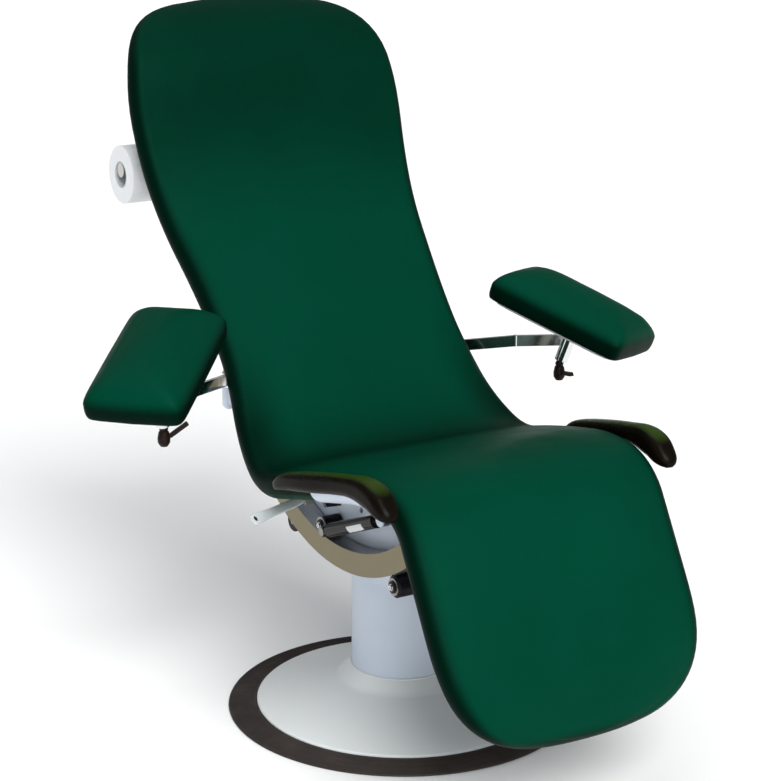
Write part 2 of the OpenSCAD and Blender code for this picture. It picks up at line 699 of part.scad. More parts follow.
// Lowest point of the shell's underside between two distances behind the column axis
function underside(y0, y1) = min([for (k = [0:800]) let (p = on_shell(0, shell_len * k / 800, -edge_r))
    if (p[1] > y0 && p[1] < y1) p[2]]);
flange_len = rail_d * 2.1;
beam_len = 2 * (rail_in + rail_w + beam_over);
beam_top = underside(-beam_y - beam_w * 0.55, -beam_y + beam_w * 0.55) - play;
module arc_rail() {
    front_a = -62;
    rear_a = 115;
    color([0.6, 0.6, 0.56]) difference() {
        translate([0, 0, rock_z]) rotate([90, 0, 90]) rotate([0, 0, front_a - 90])
            rotate_extrude(angle = rear_a - front_a, $fn = 192) rail_section();
        translate([rail_in - over, -rail_r, beam_z])
            cube([rail_w + 2 * over, rail_r - beam_w, rock_z]);
        at_shell(flange_s, bed_n(flange_s, flange_len / 2) - flange_t)
            translate([rail_in - over, -rail_r, 0]) cube([rail_w + 2 * over, 2 * rail_r, rail_r]);
    }
}
module arc_rail_left() { arc_rail(); }
module arc_rail_right() { mirror([1, 0, 0]) arc_rail(); }
module front_beam() {
    h = beam_top - beam_z;
    color([0.55, 0.56, 0.56]) translate([-beam_len / 2, -beam_y - beam_w / 2, beam_z]) difference() {
        cube([beam_len, beam_w, h]);
        translate([-over, rail_wall, rail_wall])
            cube([beam_len + 2 * over, beam_w - 2 * rail_wall, h - 2 * rail_wall]);
    }
}
module rear_cross_tube() {
    p = arc_at(rail_r - rail_d / 2, cross_angle);
    reach = rail_in - play / 3;
    color([0.6, 0.61, 0.6]) lying_tube([-reach, p[0], p[1]], 2 * reach, cross_r, cross_r - rail_wall);
}
module rail_flanges() {
    margin = rail_w / 2;
    color([0.6, 0.6, 0.58]) both_sides() at_shell(flange_s, bed_n(flange_s, flange_len / 2) - flange_t)
        translate([rail_in - margin, -flange_len / 2, play / 3])
            cube([rail_w + 2 * margin, flange_len, flange_t - play / 3]);
}
module frame_screws() {
    margin = rail_w / 4;
    color("silver") {
        both_sides() at_shell(flange_s, bed_n(flange_s, flange_len / 2) - flange_t)
            for (x = [rail_in - margin, rail_in + rail_w + margin]) for (y = [-flange_len * 0.38, flange_len * 0.38])
                translate([x, y, 0]) rotate([180, 0, 0]) screw_head(stud_r);
        both_sides() for (y = [-beam_w / 4, beam_w / 4])
            translate([beam_len / 2 - beam_over / 2, -beam_y + y, beam_z - play / 3]) rotate([180, 0, 0])
                screw_head(stud_r);
    }
}
module spring_bracket() {
    s = starts[6] + seat_len * 0.72;
    foot_n = bed_n(s, rail_d / 2);
    gap_x = spring_x - eye_w / 2 - 2 * play - flange_t;
    color([0.6, 0.61, 0.6]) mirror([1, 0, 0]) {
        at_shell(s, foot_n - bracket_t) translate([gap_x - rail_d, -rail_d / 2, 0])
            cube([rail_d + flange_t, rail_d, bracket_t]);
        side_extrude(gap_x, flange_t) difference() {
            capsule(rod_pivot, [spine(s)[0], spine(s)[1] - edge_r], eye_r * 1.1, rail_d / 2.4);
            translate([spine(s)[0], spine(s)[1]]) rotate(-slope(s)) translate([-rail_d, foot_n])
                square(2 * rail_d);
        }
        lying_tube([gap_x, rod_pivot[0], rod_pivot[1]], eye_w + flange_t + 4 * play + roller_gap, stud_r);
        lying_tube([gap_x + eye_w + flange_t + 4 * play, rod_pivot[0], rod_pivot[1]], roller_gap, rod_eye_r);
    }
}

// Armrest: shares along, up, half width and half thickness at each station
armrest_shares = [
    [0.010, 0.14, 0.40, 0.36], [0.040, 0.22, 0.60, 0.46], [0.10, 0.36, 0.70, 0.64],
        [0.20, 0.50, 0.76, 0.72],
    [0.35, 0.67, 0.79, 0.78], [0.52, 0.86, 0.81, 0.78], [0.65, 0.98, 0.86, 0.80], [0.74, 1.02, 0.92, 0.94],
    [0.81, 1.00, 0.98, 1.04], [0.87, 0.94, 1.00, 1.00], [0.92, 0.80, 0.96, 0.84], [0.965, 0.68, 0.78, 0.58],
    [0.99, 0.60, 0.48, 0.34]
];
armrest_end = len(armrest_shares) - 1;
function armrest_point(k) = let (q = armrest_shares[k])
    [-armrest_y - armrest_len * q[0], rock_z - armrest_drop + armrest_rise * q[1]];
function armrest_tangent(k) = let (d = armrest_point(min(k + 1, armrest_end)) - armrest_point(max(k - 1, 0)))
    d / norm(d);
armrest_power = 2.6;
function super(c, p) = sign(c) * pow(abs(c), 2 / p);
function armrest_ring(k, m) =
    let (q = armrest_shares[k], c = armrest_point(k), t = armrest_tangent(k), up = [t[1], -t[0]],
        x = armrest_x - armrest_draw * ease(q[0]))
    [for (j = [0:m - 1]) let (a = 360 * j / m, u = super(cos(a), armrest_power) * q[2] * armrest_half_w,
        v = super(sin(a), armrest_power) * q[3] * armrest_half_t)
        [x + u, c[0] + v * up[0], c[1] + v * up[1]]];
function armrest_tip(k, side) =
    let (t = armrest_tangent(k), d = side * armrest_half_t * 0.25, m = middle_of(armrest_ring(k, 18)))
    m + [0, d * t[0], d * t[1]];
module armrest() {
    rings = [for (k = [0:armrest_end]) armrest_ring(k, 18)];
    color([0.06, 0.055, 0.05]) skin(rings, armrest_tip(0, -1), armrest_tip(armrest_end, 1));
}
module armrest_left() { armrest(); }
module armrest_right() { mirror([1, 0, 0]) armrest(); }

// Painted angle brackets hug the rim of the seat and carry the armrests
bracket_at = max([for (k = [0:400]) let (s = starts[6] + (seat_len + thigh_len) * k / 400)
    if (spine(s)[0] > -bracket_y) s]);
armrest_under = [for (k = [armrest_end:-1:0]) let (p = armrest_point(k))
    [p[0], p[1] - armrest_half_t * armrest_shares[k][3]]];
function under_n(s) = (lookup(spine(s)[0], armrest_under) - spine(s)[1]) / cos(slope(bracket_at));
module armrest_bracket() {
    half = bracket_len / 2;
    foot = bracket_len * 0.56;
    low = bed_n(bracket_at, foot / 2 + bracket_t, foot / 2 - half) - bracket_t;
    top = min([for (d = [-half, 0, half]) under_n(bracket_at + d)]) + bracket_rise;
    taper = atan((half_w(bracket_at + half) - half_w(bracket_at - half)) / bracket_len);
    color([0.74, 0.79, 0.86]) at_shell(bracket_at) translate([half_w(bracket_at) + play * 3, 0, low])
        rotate([0, 0, taper]) {
            translate([0, -half, 0]) cube([bracket_t, bracket_len, top - low]);
            translate([-bracket_reach, half - foot, 0]) cube([bracket_reach + bracket_t, foot, bracket_t]);
        }
}
module armrest_bracket_left() { armrest_bracket(); }
module armrest_bracket_right() { mirror([1, 0, 0]) armrest_bracket(); }

// Swing arms
pivot_z = rock_z - pivot_drop;
sleeve_z = rock_z - sleeve_drop;
// Upright place at a height h along the sleeve's slanting axis.
function upright(h) = let (c = cos(sleeve_fore) * h)
    [[1, 0, 0, sleeve_x + c * sin(sleeve_lean)], [0, 1, 0, sleeve_y - sin(sleeve_fore) * h],
        [0, 0, 1, sleeve_z + c * cos(sleeve_lean)], [0, 0, 0, 1]];
left_prong_turn = 270;
left_prong_rise = 8;
right_prong_turn = 205;
right_prong_rise = 36;
prong_len_share = 3.4;
arm_eye_h = bar_h * 1.24;
bar_rise_share = 1.1;
bar_z = pivot_z + arm_eye_h / 2;
bracket_s = max([for (k = [0:400]) let (s = starts[3] + (back_len + lumbar_len) * k / 400)
    if (on_shell(0, s, -edge_r)[2] > pivot_z - boss_h * 0.6) s]);
module arm_bracket() {
    plate_w = boss_r * 4;
    bed = bed_n(bracket_s, boss_r * 2);
    color([0.75, 0.77, 0.79]) difference() {
        union() {
            translate([pivot_x, pivot_y, pivot_z - play - boss_h]) cylinder(h = boss_h, r = boss_r);
            translate([pivot_x, pivot_y, pivot_z - play - boss_h]) intersection() {
                sphere(r = boss_r);
                translate([-boss_r, -boss_r, -boss_r]) cube([2 * boss_r, 2 * boss_r, boss_r]);
            }
            hull() {
                at_shell(bracket_s, bed - flange_t) translate([pivot_x - plate_w, -boss_r * 0.8, 0])
                    cube([plate_w - boss_r, boss_r * 1.6, flange_t / 2]);
                translate([pivot_x, pivot_y, pivot_z - play - boss_h])
                    cylinder(h = boss_h, r = boss_r * 0.7, $fn = 32);
            }
            at_shell(bracket_s, bed - flange_t) translate([pivot_x - plate_w * 1.25, -boss_r * 2, 0])
                cube([plate_w * 1.25, boss_r * 4, flange_t]);
        }
        translate([pivot_x, pivot_y, pivot_z - play - boss_h - boss_r - over])
            cylinder(h = boss_h + boss_r + 2 * over, r = pivot_r);
    }
}
module arm_bracket_left() { arm_bracket(); }
module arm_bracket_right() { mirror([1, 0, 0]) arm_bracket(); }
module pivot_bolt() {
    foot = boss_h - boss_r;
    color("silver") translate([pivot_x, pivot_y, pivot_z - play - foot]) {
        cylinder(h = foot + arm_eye_h + 2 * play + over / 2, r = pivot_r - fit / 5);
        translate([0, 0, foot + arm_eye_h + 2 * play]) cylinder(h = pivot_r * 0.8, r = boss_r * 0.8);
    }
}
module pivot_bolt_left() { pivot_bolt(); }
module pivot_bolt_right() { mirror([1, 0, 0]) pivot_bolt(); }
module flat_bar(p, q) {
    d = q - p;
    translate(p) rotate([0, atan2(-d[2], norm([d[0], d[1]])), atan2(d[1], d[0])])
        translate([0, -bar_t / 2, -bar_h / 2]) cube([norm(d), bar_t, bar_h]);
}
module at_sleeve(h = 0) {
    translate([sleeve_x, sleeve_y, sleeve_z]) rotate([0, sleeve_lean, 0]) rotate([sleeve_fore, 0, 0])
        translate([0, 0, h]) children();
}
module swing_arm() {
    lift = bar_h * bar_rise_share;
    p = [pivot_x, pivot_y, bar_z];
    q = [bend_x, bend_y, bar_z + lift];
    e = [sleeve_x, sleeve_y, bar_z + lift];
    color([0.7, 0.72, 0.72]) difference() {
        union() {
            translate([pivot_x, pivot_y, pivot_z]) cylinder(h = arm_eye_h, r = boss_r);
            flat_bar(p, q);
            translate([bend_x, bend_y, bar_z + lift - bar_h / 2 - play])
                cylinder(h = bar_h + 2 * play, r = bar_t * 0.6);
            flat_bar(q, e);
            at_sleeve(-sleeve_len / 2) cylinder(h = sleeve_len, r = sleeve_r);
        }
        translate([pivot_x, pivot_y, pivot_z - over]) cylinder(h = arm_eye_h + 2 * over, r = pivot_r + fit);
        at_sleeve(sleeve_wall - sleeve_len / 2)
            cylinder(h = sleeve_len, r = sleeve_r - sleeve_wall + fit);
    }
}
module swing_arm_left() { swing_arm(); }
module swing_arm_right() { swung() swing_arm(); }
// Mirrors the left arm's parts to the right side and swings them out there.
module swung() {
    mirror([1, 0, 0]) translate([pivot_x, pivot_y, 0]) rotate([0, 0, right_arm_swing])
        translate([-pivot_x, -pivot_y, 0]) children();
}
module clamp_knob(prong_turn, prong_rise) {
    ball_r = knob_r * 0.7;
    color([0.07, 0.055, 0.05]) multmatrix(upright(-sleeve_len / 2 - play - ball_r)) {
        sphere(r = ball_r);
        translate([0, 0, -knob_len]) rotate_extrude()
            polygon([[0, 0], [knob_r * 0.6, 0], [knob_r * 0.95, knob_len * 0.2], [knob_r, knob_len * 0.45],
                [knob_r * 0.8, knob_len * 0.8], [ball_r * 0.7, knob_len - ball_r / 4],
                    [0, knob_len - ball_r / 4]]);
        rotate([0, -prong_rise, prong_turn]) translate([0, 0, -knob_len * 0.55]) rotate([90, 0, 90])
            linear_extrude(knob_r * prong_len_share)
                polygon([[-knob_r * 0.4, -knob_r * 0.3], [knob_r * 0.4, -knob_r * 0.3],
                [knob_r * 0.25, knob_r * 0.35], [-knob_r * 0.25, knob_r * 0.35]]);
    }
}
module clamp_knob_left() { clamp_knob(left_prong_turn, left_prong_rise); }
module clamp_knob_right() { swung() clamp_knob(right_prong_turn, right_prong_rise); }

// Arm pads turn and slide in their sleeves
post_r = sleeve_r - sleeve_wall;
module pad_post(raise) {
    foot = sleeve_wall + play - sleeve_len / 2;
    flange_h = sleeve_wall;
    color("silver") at_sleeve(raise) {
        translate([0, 0, foot]) cylinder(h = pad_up - play / 3 - foot, r = post_r);
        translate([0, 0, pad_up - play / 3 - flange_h]) cylinder(h = flange_h, r = sleeve_r * 1.8);
    }
}
module pad_post_left() { pad_post(0); }
module pad_post_right() { swung() pad_post(right_pad_raise); }
pad_power = 8;
function pad_outline(inset, z, m) = [for (j = [0:m - 1]) let (a = 360 * j / m)
    [super(cos(a), pad_power) * (pad_w / 2 - inset), super(sin(a), pad_power) * (pad_len / 2 - inset), z]];
module pad_board(turn, raise) {
    m = 48;
    inset = pad_t * 0.22;
    color([0.75, 0.76, 0.76]) at_sleeve(raise + pad_up) rotate([0, 0, turn]) translate([0, pad_shift, 0])
        linear_extrude(pad_board_t) polygon([for (p = pad_outline(inset, 0, m)) [p[0], p[1]]]);
}
module pad_board_left() { pad_board(left_pad_turn, 0); }
module pad_board_right() { swung() pad_board(right_pad_turn, right_pad_raise); }
// Shares of the pad's thickness: how far each level is drawn in and how high it lies
pad_level_shares = [[0.05, 0.00], [0.00, 0.08], [0.00, 0.30], [0.03, 0.56], [0.13, 0.80], [0.35, 0.96]];
module pad_cushion(turn, raise) {
    m = 44;
    top_share = pad_level_shares[len(pad_level_shares) - 1];
    sides = [for (q = pad_level_shares) pad_outline(pad_t * q[0], pad_t * q[1], m)];
    tops = [for (u = [0.8, 0.55, 0.28]) [for (p = pad_outline(pad_t * top_share[0], 0, m))
        [p[0] * u, p[1] * u, pad_t * top_share[1] + pad_crown * (1 - u * u)]]];
    color([0.0, 0.26, 0.17]) at_sleeve(raise + pad_up + pad_board_t + play) rotate([0, 0, turn])
        translate([0, pad_shift, 0])
            skin(concat(sides, tops), [0, 0, 0], [0, 0, pad_t * top_share[1] + pad_crown]);
}
module pad_cushion_left() { pad_cushion(left_pad_turn, 0); }
module pad_cushion_right() { swung() pad_cushion(right_pad_turn, right_pad_raise); }

// Release lever under the right side of the seat
lever_z = rock_z - lever_drop;
lever_pin_r = lever_t * 0.75;
module lever_bracket() {
    ear = lever_w / 2 + play;
    top_z = underside(-lever_y - 2 * ear - lever_t, -lever_y + 2 * ear + lever_t) - play;
    color([0.6, 0.61, 0.6]) {
        for (side = [-1, 1])
            translate([-lever_x - lever_t * 2, -lever_y + side * (ear + lever_t / 2) - lever_t / 2, lever_z - lever_t * 1.6])
            cube([lever_t * 4, lever_t, top_z - lever_z + lever_t * 1.6 - lever_t]);
        translate([-lever_x - lever_t * 3, -lever_y - ear - lever_t, top_z - lever_t])
            cube([lever_t * 9, 2 * (ear + lever_t), lever_t]);
        translate([-lever_x, -lever_y + ear + lever_t, lever_z]) rotate([90, 0, 0])
            cylinder(h = 2 * (ear + lever_t), r = lever_pin_r);
    }
}
module release_lever() {
    neck_w = lever_w * 0.36;
    blade = lever_len * 0.78;
    color([0.75, 0.77, 0.78]) translate([-lever_x, -lever_y, lever_z]) rotate([0, -lever_droop, 0])
        mirror([1, 0, 0])
        difference() {
            union() {
                rotate([lever_roll, 0, 0]) difference() {
                    translate([0, 0, -lever_t / 2]) linear_extrude(lever_t) union() {
                        polygon([[0, -neck_w / 2], [blade * 0.3, -neck_w / 2], [blade, -lever_w * 0.46],
                            [lever_len - lever_w * 0.3, -lever_w / 2],
                                [lever_len - lever_w * 0.3, lever_w / 2],
                            [blade, lever_w * 0.46], [blade * 0.3, neck_w / 2], [0, neck_w / 2]]);
                        translate([lever_len - lever_w * 0.3, 0]) scale([0.6, 1]) circle(r = lever_w / 2);
                    }
                    translate([lever_len - lever_w * 0.45, -lever_w * 0.28, -lever_t])
                        cube([lever_t * 0.8, lever_w * 0.56, lever_t * 2]);
                }
                translate([0, lever_w / 2, 0]) rotate([90, 0, 0]) cylinder(h = lever_w, r = lever_t * 1.3);
            }
            translate([0, lever_w / 2 + over, 0]) rotate([90, 0, 0])
                cylinder(h = lever_w + 2 * over, r = lever_pin_r + fit);
        }
}

// Paper roll behind the head of the back
roll_z = rock_z + roll_up;
rod_up = core_r - roll_rod_r - play;
roll_left = roll_len / 2;
module roll_holder() {
    arm_t = bracket_t;
    x = roll_left + play * 2;
    s = starts[2] + shoulder_len * 0.35;
    bed = bed_n(s, roll_rod_r * 1.5);
    p = on_shell(0, s, bed);
    rod = [roll_y, roll_z + rod_up];
    color([0.6, 0.61, 0.6]) {
        lying_tube([-roll_left, rod[0], rod[1]], roll_len + play * 2 + arm_t / 2, roll_rod_r);
        difference() {
            side_extrude(x, arm_t)
                capsule(rod, [p[1], p[2]] + [roll_rod_r, -roll_rod_r], roll_rod_r * 1.3, roll_rod_r * 1.3);
            at_shell(s, bed) translate([0, -roll_y, 0]) cube([2 * roll_len, 2 * roll_y, roll_y]);
        }
        at_shell(s, bed - arm_t) translate([roll_left - rail_d * 2, -roll_rod_r * 1.5, 0])
            cube([rail_d * 2 + arm_t + play * 2, roll_rod_r * 3, arm_t]);
    }
}
module roll_core() {
    color([0.6, 0.5, 0.4]) lying_tube([-roll_left, roll_y, roll_z], roll_len, core_r + core_t, core_r);
}
module paper_roll() {
    color([0.93, 0.94, 0.94]) lying_tube([-roll_left, roll_y, roll_z], roll_len, roll_r, core_r + core_t);
}

base_ring();
ballast_plate();
base_cover();
column_tube();
column_bolts();
head_box();
side_plate_left();
side_plate_right();
plate_screws();
roller_axles();
roller_caps();
spring_stud();
roller_front_left();
roller_front_right();
roller_rear_left();
roller_rear_right();
keeper_left();
keeper_right();
spring_cylinder();
spring_rod();
spring_bracket();
arc_rail_left();
arc_rail_right();
front_beam();
rear_cross_tube();
rail_flanges();
frame_screws();
back_board();
seat_upholstery();
armrest_left();
armrest_right();
armrest_bracket_left();
armrest_bracket_right();
lever_bracket();
release_lever();
arm_bracket_left();
arm_bracket_right();
pivot_bolt_left();
pivot_bolt_right();
swing_arm_left();
swing_arm_right();
clamp_knob_left();
clamp_knob_right();
pad_post_left();
pad_post_right();
pad_board_left();
pad_board_right();
pad_cushion_left();
pad_cushion_right();
roll_holder();
roll_core();
paper_roll();
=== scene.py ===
"""Looks of a reclining blood-draw chair: green vinyl shell on arc rails over a round pedestal.

Every length is in metres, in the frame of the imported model: X across the chair, the head towards +Y, Z up.
"""
import json
import logging
import math
from collections.abc import Sequence
from dataclasses import dataclass, field
from enum import Enum

import bpy
import numpy as np
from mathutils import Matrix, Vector


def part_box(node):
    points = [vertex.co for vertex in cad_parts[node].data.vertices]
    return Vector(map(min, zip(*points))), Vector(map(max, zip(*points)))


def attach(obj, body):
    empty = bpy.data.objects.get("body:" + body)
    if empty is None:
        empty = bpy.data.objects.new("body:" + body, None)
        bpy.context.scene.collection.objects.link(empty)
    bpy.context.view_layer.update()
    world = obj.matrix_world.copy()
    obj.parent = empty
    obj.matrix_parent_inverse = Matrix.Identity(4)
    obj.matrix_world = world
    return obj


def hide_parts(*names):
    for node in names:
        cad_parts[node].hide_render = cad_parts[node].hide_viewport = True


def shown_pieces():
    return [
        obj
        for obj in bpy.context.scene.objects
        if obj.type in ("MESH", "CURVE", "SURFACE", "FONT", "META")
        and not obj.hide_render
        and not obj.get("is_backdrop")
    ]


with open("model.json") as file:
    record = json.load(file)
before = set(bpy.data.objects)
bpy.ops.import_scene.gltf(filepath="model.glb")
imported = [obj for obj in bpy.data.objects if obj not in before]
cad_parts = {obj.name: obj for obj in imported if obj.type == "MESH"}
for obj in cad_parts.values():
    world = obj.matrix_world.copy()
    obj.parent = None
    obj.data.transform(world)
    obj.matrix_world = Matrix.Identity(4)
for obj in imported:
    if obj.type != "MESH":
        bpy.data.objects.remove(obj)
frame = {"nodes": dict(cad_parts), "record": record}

LOG = logging.getLogger("chair")
Colour = tuple[float, float, float]
Socket = bpy.types.NodeSocket
SIDES = ("left", "right")


def mirror_sign(side: str) -> int:
    """Returns +1 for the left side of the chair and -1 for the right."""
    return 1 if side == "left" else -1


# Materials


class Nodes:
    """Short calls that add nodes to a tree and join them."""

    prefix = ""
    tree: bpy.types.NodeTree

    def feed(self, socket: Socket, value: object) -> None:
        """Joins a socket to another one, or sets its number or colour.

        Args:
            socket: The input to feed.
            value: An output socket, a number, or a sequence of numbers.
        """
        if isinstance(value, bpy.types.NodeSocket):
            self.tree.links.new(value, socket)
        elif isinstance(value, (tuple, list)) and socket.type == "RGBA":
            socket.default_value = (*value[:3], 1.0)
        else:
            socket.default_value = value

    def node(self, kind: str, settings: dict[str, object] | None = None, **inputs: object) -> bpy.types.Node:
        """Adds a node.

        Args:
            kind: The node's type without the tree's prefix.
            settings: The node's own options.
            **inputs: Input names, with _ for a space, or i0, i1 for a place in the list.

        Returns:
            The new node.
        """
        made = self.tree.nodes.new(self.prefix + kind)
        for key, value in (settings or {}).items():
            setattr(made, key, value)
        for key, value in inputs.items():
            place = int(key[1:]) if key[0] == "i" and key[1:].isdigit() else key.replace("_", " ")
            self.feed(made.inputs[place], value)
        return made

    def math(self, operation: str, *values: object) -> Socket:
        """Returns the result of a sum on numbers or sockets."""
        made = self.tree.nodes.new("ShaderNodeMath")
        made.operation = operation
        for socket, value in zip(made.inputs, values):
            self.feed(socket, value)
        return made.outputs[0]


class Graph(Nodes):
    """A material's node tree, with short calls for what the finishes share."""

    prefix = "ShaderNode"

    def __init__(self, name: str) -> None:
        """Starts an empty material with its output and one glossy surface shader.

        Args:
            name: The material's name.
        """
        self.material = bpy.data.materials.new(name)
        self.material.use_nodes = True
        self.tree = self.material.node_tree
        self.tree.nodes.clear()
        output = self.tree.nodes.new("ShaderNodeOutputMaterial")
        self.shader = self.tree.nodes.new("ShaderNodeBsdfPrincipled")
        self.tree.links.new(self.shader.outputs[0], output.inputs[0])

    def place(self) -> Socket:
        """Returns the point in the object's own space."""
        return self.node("TexCoord").outputs["Object"]

    def noise(self, vector: Socket, scale: float, detail: float = 3.0, rough: float = 0.55) -> Socket:
        """Returns smooth noise from 0 to 1 whose waves are 1/scale long."""
        made = self.node("TexNoise", Vector=vector, Scale=scale, Detail=detail, Roughness=rough)
        return made.outputs["Fac"]

    def cells(self, vector: Socket, scale: float) -> Socket:
        """Returns the distance to the nearest cell centre."""
        return self.node("TexVoronoi", Vector=vector, Scale=scale).outputs["Distance"]

    def spread(self, value: Socket, low: float, high: float, to_low: float = 0.0,
               to_high: float = 1.0) -> Socket:
        """Returns the value stretched from one span of numbers to another, and clamped there."""
        made = self.node("MapRange", {"clamp": True}, i0=value, i1=low, i2=high, i3=to_low, i4=to_high)
        return made.outputs[0]

    def blend(self, share: Socket, first: object, second: object) -> Socket:
        """Returns a colour between two colours or colour sockets."""
        made = self.node("Mix", {"data_type": "RGBA"}, i0=share)
        self.feed(made.inputs[6], first)
        self.feed(made.inputs[7], second)
        return made.outputs[2]

    def stretch(self, vector: Socket, scale: Sequence[float]) -> Socket:
        """Returns the vector with each of its axes scaled."""
        return self.node("Mapping", Vector=vector, Scale=tuple(scale)).outputs[0]

    def relief(self, *layers: tuple[Socket, float]) -> None:
        """Gives the shader a bump made of layers.

        Args:
            *layers: Pairs of a height from 0 to 1 and how deep it goes in metres.
        """
        normal = None
        for height, depth in layers:
            made = self.node("Bump", Height=height, Distance=depth, Strength=1.0)
            if normal is not None:
                self.feed(made.inputs["Normal"], normal)
            normal = made.outputs[0]
        self.feed(self.shader.inputs["Normal"], normal)

    def set(self, **inputs: object) -> None:
        """Feeds inputs of the surface shader by their names, with _ for a space."""
        for key, value in inputs.items():
            self.feed(self.shader.inputs[key.replace("_", " ")], value)


class Brush(Enum):
    """The way that a metal's brushing runs."""

    NONE = "none"
    ACROSS = "across"
    ARC = "arc"


@dataclass(frozen=True)
class Vinyl:
    """Smooth upholstery vinyl with a fine leather grain, random mottling and painted shade read from each
    vertex.
    """

    base: Colour = (0.0, 0.038, 0.0195)
    # deep is both the dark end of the random mottling and the colour of the painted shade.
    deep: Colour = (0.0, 0.006, 0.003)
    grain: float = 750.0

    def material(self, name: str) -> bpy.types.Material:
        """Returns the material made of this finish."""
        g = Graph(name)
        at = g.place()
        cloud = g.noise(at, 3.2, 4.0)
        speck = g.noise(at, 260.0, 2.0)
        pores = g.cells(at, self.grain)
        tone = g.math("ADD", g.math("MULTIPLY", cloud, 0.75), g.math("MULTIPLY", speck, 0.25))
        # The vertex attribute adds painted shade to the random mottling.
        stretched = g.node("Attribute", {"attribute_name": "stretched"}).outputs["Fac"]
        share = g.math("MINIMUM", g.math("ADD", g.spread(tone, 0.32, 0.68, 0.22, 0.0), stretched), 1.0)
        g.set(
            Base_Color=g.blend(share, self.base, self.deep),
            Roughness=g.spread(g.noise(at, 14.0, 4.0), 0.3, 0.7, 0.43, 0.54),
            Specular_IOR_Level=0.04,
            Specular_Tint=(0.25, 1.0, 0.72, 1.0),
        )
        g.relief((g.noise(at, 9.0, 3.0), 0.0012), (g.noise(at, 60.0, 2.0), 0.00012), (pores, 0.00010))
        return g.material


@dataclass(frozen=True)
class Paint:
    """Powder-coated or enamelled metal with orange peel, dust low down and a few scuffs."""

    base: Colour
    dust: Colour
    rough: tuple[float, float] = (0.30, 0.42)
    peel: float = 420.0
    depth: float = 0.00006
    floor_dust: float = 0.0

    def material(self, name: str) -> bpy.types.Material:
        """Returns the material made of this finish."""
        g = Graph(name)
        at = g.place()
        cloud = g.noise(at, 5.0, 5.0, 0.6)
        scuff = g.spread(g.noise(g.stretch(at, (18.0, 18.0, 70.0)), 1.0, 6.0, 0.7), 0.66, 0.78)
        low = g.spread(g.node("SeparateXYZ", Vector=at).outputs["Z"], 0.0, 0.35, self.floor_dust, 0.0)
        film = g.math("MULTIPLY", g.spread(cloud, 0.45, 0.8), 0.35)
        share = g.math("MAXIMUM", film, g.math("MULTIPLY", low, cloud))
        share = g.math("MAXIMUM", share, g.math("MULTIPLY", scuff, 0.25))
        g.set(
            Base_Color=g.blend(share, self.base, self.dust),
            Roughness=g.spread(cloud, 0.3, 0.7, *self.rough),
            Coat_Weight=0.15,
            Coat_Roughness=0.12,
        )
        g.relief((g.noise(at, self.peel, 2.0), self.depth))
        return g.material


@dataclass(frozen=True)
class Metal:
    """Bare metal, from polished chrome to brushed steel: faint smears and, if given, a painted reflection on
    the faces that look along X.
    """

    base: Colour
    smear: Colour
    rough: tuple[float, float]
    brush: Brush = Brush.NONE
    depth: float = 0.00002
    arc_height: float = 0.772
    # edge is a painted reflection colour for the faces that look along X.
    edge: Colour | None = None

    def lay(self, g: Graph, at: Socket) -> Socket:
        """Returns the coordinates in which the brushing is drawn out.

        Args:
            g: The graph to add to.
            at: The point in the object's space.

        Returns:
            A vector, long along the brushing and short across it.
        """
        fine, drawn, turned, even = 900.0, 12.0, 6.0, 60.0
        if self.brush is Brush.ARC:
            split = g.node("SeparateXYZ", Vector=at)
            up = g.math("SUBTRACT", split.outputs["Z"], self.arc_height)
            flat = g.math("MULTIPLY", split.outputs["Y"], split.outputs["Y"])
            reach = g.math("SQRT", g.math("ADD", flat, g.math("MULTIPLY", up, up)))
            turn = g.math("ARCTAN2", split.outputs["Y"], up)
            bent = g.node("CombineXYZ", X=split.outputs["X"], Y=reach, Z=turn).outputs[0]
            return g.stretch(bent, (fine, fine, turned))
        return g.stretch(at, (drawn, fine, fine) if self.brush is Brush.ACROSS else (even, even, even))

    def material(self, name: str) -> bpy.types.Material:
        """Returns the material made of this finish."""
        g = Graph(name)
        at = g.place()
        lines = g.noise(self.lay(g, at), 1.0, 3.0, 0.6)
        cloud = g.noise(at, 22.0, 5.0, 0.62)
        share = g.math("ADD", g.math("MULTIPLY", lines, 0.5), g.math("MULTIPLY", cloud, 0.5))
        colour = g.blend(g.spread(share, 0.3, 0.7), self.smear, self.base)
        # Faces that look along X get the painted reflection colour.
        if self.edge:
            split = g.node("SeparateXYZ", Vector=g.node("TexCoord").outputs["Normal"])
            painted_reflection_flank = g.math("GREATER_THAN", g.math("ABSOLUTE", split.outputs["X"]), 0.5)
            colour = g.blend(painted_reflection_flank, self.edge, colour)
        g.set(
            Base_Color=colour,
            Metallic=1.0,
            Roughness=g.spread(share, 0.3, 0.7, *self.rough),
        )
        g.relief((lines, self.depth), (g.noise(at, 35.0, 2.0), 0.00015))
        return g.material


